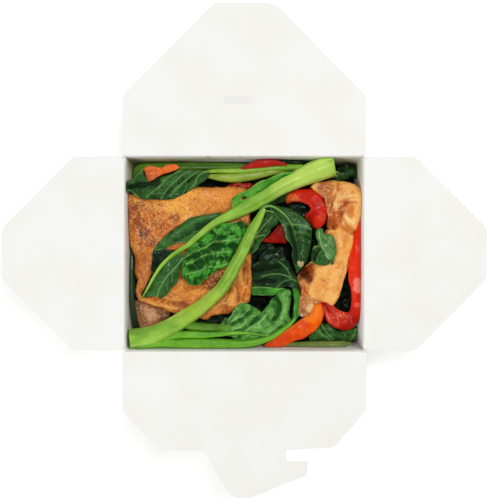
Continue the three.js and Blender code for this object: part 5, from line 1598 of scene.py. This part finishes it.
def makeTray():
    # from the middle of the floor out and up the inside, and down the outside to the middle of the underside
    board, radius = carton["board"], carton["cornerRadius"]
    fold = carton["baseFold"]
    inner, outer = [], []
    for share in (0.02, 0.35, 0.7, 0.9):
        inner.append(np.array(wallRing(board, 0, radius, 0)) * [share, share, 1])
        outer.append(np.array(wallRing(0, board, radius, 0)) * [share, share, 1])
    for t in np.linspace(0, math.pi / 2, 5):
        inward, up = 1 - math.sin(t), 1 - math.cos(t)
        inner.append(wallRing(board + fold * up, -fold * inward, radius, 0))
        outer.append(wallRing((fold + board) * up, board - (fold + board) * inward, radius, 0))
    for share in np.linspace(0, 1, 18)[1:]:
        bulge = carton["wallBulge"] * math.sin(math.pi * share)
        heights = {k: fold + board + (top - fold - board) * share for k, top in carton["rimTops"].items()}
        inner.append(wallRing(0, 0, radius, bulge, heights))
        outer.append(wallRing(0, board, radius, bulge, heights))
    rings = np.array([np.array(r) for r in inner + outer[::-1]])
    count = rings.shape[1]
    faces = quads(len(rings), count, wrap=True)
    faces += [face[::-1] for face in flatEnds(len(rings) * count, count)]
    return makePiece("tray", rings, faces, paper)


def makeWeb(sideX, sideY, layer):
    # one layer of the corner web, folded flat against the outside of an end wall
    board, tops = carton["board"], carton["rimTops"]
    foot, top = carton["webFoot"] + 1.2 * layer, tops["end"] - 0.05
    inward = carton["webWidth"] - 1.5 * layer
    thick = board - 0.06  # pressed flat
    lines = []
    for z in np.linspace(foot, top, 24):
        halfX, halfY = insideHalf(z)
        start = halfY + board - 0.15
        end = start - max(inward * (z - foot) / (top - foot), 0.3)
        near = halfX + board + 0.03 + layer * (board - 0.02)
        lines.append([(near, start - 0.2, z), (near, end, z), (near + thick, end, z),
                      (near + thick, start - 0.25, z), (near + thick / 2, start, z)])
    rows, count = len(lines), len(lines[0])
    faces = quads(rows, count, wrap=True) + flatEnds(rows * count, count)
    piece = makePiece("web", np.array(lines) * [sideX, sideY, 1], faces, paper)
    for polygon in piece.data.polygons:
        polygon.use_smooth = False
    return piece


tray = makeTray()
webs = [makeWeb(sx, sy, layer) for sx in (-1, 1) for sy in (-1, 1) for layer in (0, 1)]
settle(join("cartonTray", [tray, *webs]), "box", "carton_tray")

endFlap = {"wall": (85.6, 61.7), "halfFold": 69.1, "wideFold": False}
longFlap = {"halfFold": 85.7, "wideFold": True}
flaps = {
    "right": {**endFlap, "turn": 0, "fold": (87.475, 0, 62.375)},
    "back": {**longFlap, "turn": 90, "fold": (0, 70.575, 63.075), "wall": (69.72, 62.4)},
    "left": {**endFlap, "turn": 180, "fold": (-87.475, 0, 62.375)},
    "front": {**longFlap, "turn": 270, "fold": (0, -70.575, 63.775), "wall": (69.82, 63.1)},
}


def turned(points, degrees):
    c, s = round(math.cos(math.radians(degrees))), round(math.sin(math.radians(degrees)))
    p = np.asarray(points, float)
    return np.stack([c * p[..., 0] - s * p[..., 1], s * p[..., 0] + c * p[..., 1], p[..., 2]], axis=-1)


def arc(corner, before, after, radius, steps=6):
    # points that round a corner of an outline
    corner, before, after = (np.array(p, float) for p in (corner, before, after))
    a = corner + (before - corner) / np.linalg.norm(before - corner) * radius
    b = corner + (after - corner) / np.linalg.norm(after - corner) * radius
    t = np.linspace(0, 1, steps)[:, None]
    return [tuple(p) for p in (1 - t) ** 2 * a + 2 * t * (1 - t) * corner + t**2 * b]


def rounded(corners, radii):
    # an outline with its corners rounded, apart from those of radius 0
    line = []
    for i, (corner, radius) in enumerate(zip(corners, radii)):
        if radius:
            line += arc(corner, corners[i - 1], corners[(i + 1) % len(corners)], radius)
        else:
            line.append(tuple(corner))
    return line


def frontOutline():
    # the lock tab, with its hook, stands out from the middle of the edge
    curve = smoothPath([(70, -35), (71.5, -29), (77, -24.5), (86, -20.5), (95, -14.5), (101.5, -10), (104, -4)],
                       26)
    hook = smoothPath([(104, 4), (101.5, 10.5), (89, 41.5), (87.5, 44.5), (77.5, 45.5)], 22)
    line = [(0, -87)] + arc((41.5, -87), (0, -87), (70, -60), 3) + arc((70, -60), (41.5, -87), (70, -35), 4)
    line += [*map(tuple, curve), *map(tuple, hook)]
    line += arc((77.5, 30), (77.5, 45.5), (70, 30), 1.2) + arc((69.5, 30), (77.5, 30), (68, 63), 1.2)
    line += arc((68, 64), (69.5, 30), (41.5, 87), 4) + arc((41.5, 87.2), (68, 64), (30, 87.4), 3)
    return line + [(30, 87.4), (0, 87)]


def makeFlap(name, flap, loops):
    # a plate of board within the first loop, without what is in the others
    shape = bmesh.new()
    edges = []
    for loop in loops:
        corners = [shape.verts.new((x * mm, y * mm, 0)) for x, y in loop]
        edges += [shape.edges.new((a, b)) for a, b in zip(corners, corners[1:] + corners[:1])]
    bmesh.ops.triangle_fill(shape, use_beauty=True, use_dissolve=False, edges=edges)
    bmesh.ops.recalc_face_normals(shape, faces=shape.faces)
    mesh = bpy.data.meshes.new(name + "Flap")
    shape.to_mesh(mesh)
    shape.free()
    if mesh.polygons[0].normal.z < 0:
        mesh.flip_normals()
    mesh.materials.append(paper)
    piece = newObject(name + "Flap", mesh)
    thick = piece.modifiers.new("thickness", "SOLIDIFY")
    thick.thickness, thick.offset = carton["board"] * mm, 0
    edge = piece.modifiers.new("softEdge", "BEVEL")
    edge.width, edge.segments, edge.limit_method = 0.0001, 2, "ANGLE"
    plainMesh(piece)
    setPoints(piece, turned(meshPoints(piece), flap["turn"]) + flap["fold"])
    settle(piece, "lid_" + name, "flap_" + name)


def makeCrease(name, flap):
    # the scored strip of board between a wall's top and its flap
    board = carton["board"]
    fold = abs(flap["fold"][0]) + abs(flap["fold"][1])
    wallOut, wallTop = flap["wall"]
    width, top = fold - wallOut, flap["fold"][2]
    end = (fold + 0.12, top)
    bend = smoothPath([(wallOut, wallTop), (wallOut + 0.1 * width, wallTop + 0.35),
                       (wallOut + 0.35 * width, top - 0.04), end], 26)
    tangent = np.gradient(bend, axis=0)
    tangent /= np.linalg.norm(tangent, axis=1, keepdims=True)
    normal = np.column_stack([-tangent[:, 1], tangent[:, 0]])
    upper, lower = bend + normal * board / 2, bend - normal * board / 2
    section = np.vstack([upper, lower[::-1]])
    rows = np.linspace(-flap["halfFold"], flap["halfFold"], 40)
    points = np.array([[(x, y, z) for x, z in section] for y in rows])
    count = len(section)
    faces = quads(len(rows), count, wrap=True) + flatEnds(len(rows) * count, count)
    piece = makePiece(name + "Crease", turned(points, flap["turn"]), faces, paper)
    # a start for the strip: the wall's top for the wide fold, a point by the fold for the narrow one
    first = bend[0] if flap["wideFold"] else (fold - 0.5, top)
    "lid_" + name
    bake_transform(piece)


slotHalf, slotAt = (2.5, 10.75), (38.8, 3.7)
lockSlot = rounded([(slotAt[0] + a * slotHalf[0], slotAt[1] + b * slotHalf[1])
                    for a, b in ((-1, -1), (1, -1), (1, 1), (-1, 1))], (0.6,) * 4)
endOutline = rounded([(0, -69.3), (35, -69.3), (86, -18), (86, 18), (35, 69.3), (0, 69.3)], (0, 4, 5, 5, 4, 0))
backOutline = rounded([(0, -87), (42, -87), (108.7, -21.5), (108.7, 21.5), (42, 87), (0, 87)],
                      (0, 2.5, 9, 3, 2.5, 0))
outlines = {"right": [endOutline], "back": [backOutline, lockSlot], "left": [endOutline],
            "front": [frontOutline()]}
for name, flap in flaps.items():
    makeFlap(name, flap, outlines[name])
    makeCrease(name, flap)
print("carton made")


studio = {"floorHalf": 3.0, "floorGlow": 0.35, "ambient": 0.25, "aim": (0, 0, 0.05), "lights": {
    "keyLight": {"place": (1.0, 0.55, 1.5), "size": 0.7, "power": 12.6},
    "fillLight": {"place": (-1.2, -0.7, 1.05), "size": 1.0, "power": 14.7},
    "topLight": {"place": (0.12, 0.28, 1.25), "size": 0.35, "power": 3.4},
}}


def makeFloor():
    g = Shade("floorPaper", Roughness=0.9, Emission_Strength=studio["floorGlow"])
    g.shader.inputs["Emission Color"].default_value = (1, 1, 1, 1)
    cloud = g.noise(3, 2)
    g.feed(Base_Color=g.mix(cloud, (230, 230, 230), (234, 234, 234)))
    half, z = studio["floorHalf"] / mm, -0.05
    floor = makePiece("floor", [(-half, -half, z), (half, -half, z), (half, half, z), (-half, half, z)],
                      [(0, 1, 2, 3)], g.material)
    if floor.data.polygons[0].normal.z < 0:
        floor.data.flip_normals()


makeFloor()
for name, light in studio["lights"].items():
    lamp = bpy.data.lights.new(name, "AREA")
    lamp.shape, lamp.size, lamp.energy = "DISK", light["size"], light["power"]
    piece = newObject(name, lamp)
    piece.location = light["place"]
    piece.rotation_euler = (Vector(studio["aim"]) - piece.location).to_track_quat("-Z", "Y").to_euler()
world = bpy.data.worlds.new("studio")
world.use_nodes = True
world.node_tree.nodes["Background"].inputs["Color"].default_value = (1, 1, 1, 1)
world.node_tree.nodes["Background"].inputs["Strength"].default_value = studio["ambient"]
bpy.context.scene.world = world
bpy.context.scene.view_settings.view_transform = "Standard"

view = {"place": (0.00089, 0.0025, 0.814), "lens": 75.74, "sensor": 36.0, "nearest": 0.01, "farthest": 20}
lens = bpy.data.cameras.new("camera")
lens.lens, lens.sensor_width = view["lens"], view["sensor"]
lens.clip_start, lens.clip_end = view["nearest"], view["farthest"]
camera = newObject("camera", lens)
camera.location = view["place"]
bpy.context.scene.camera = camera

print("scene ready")
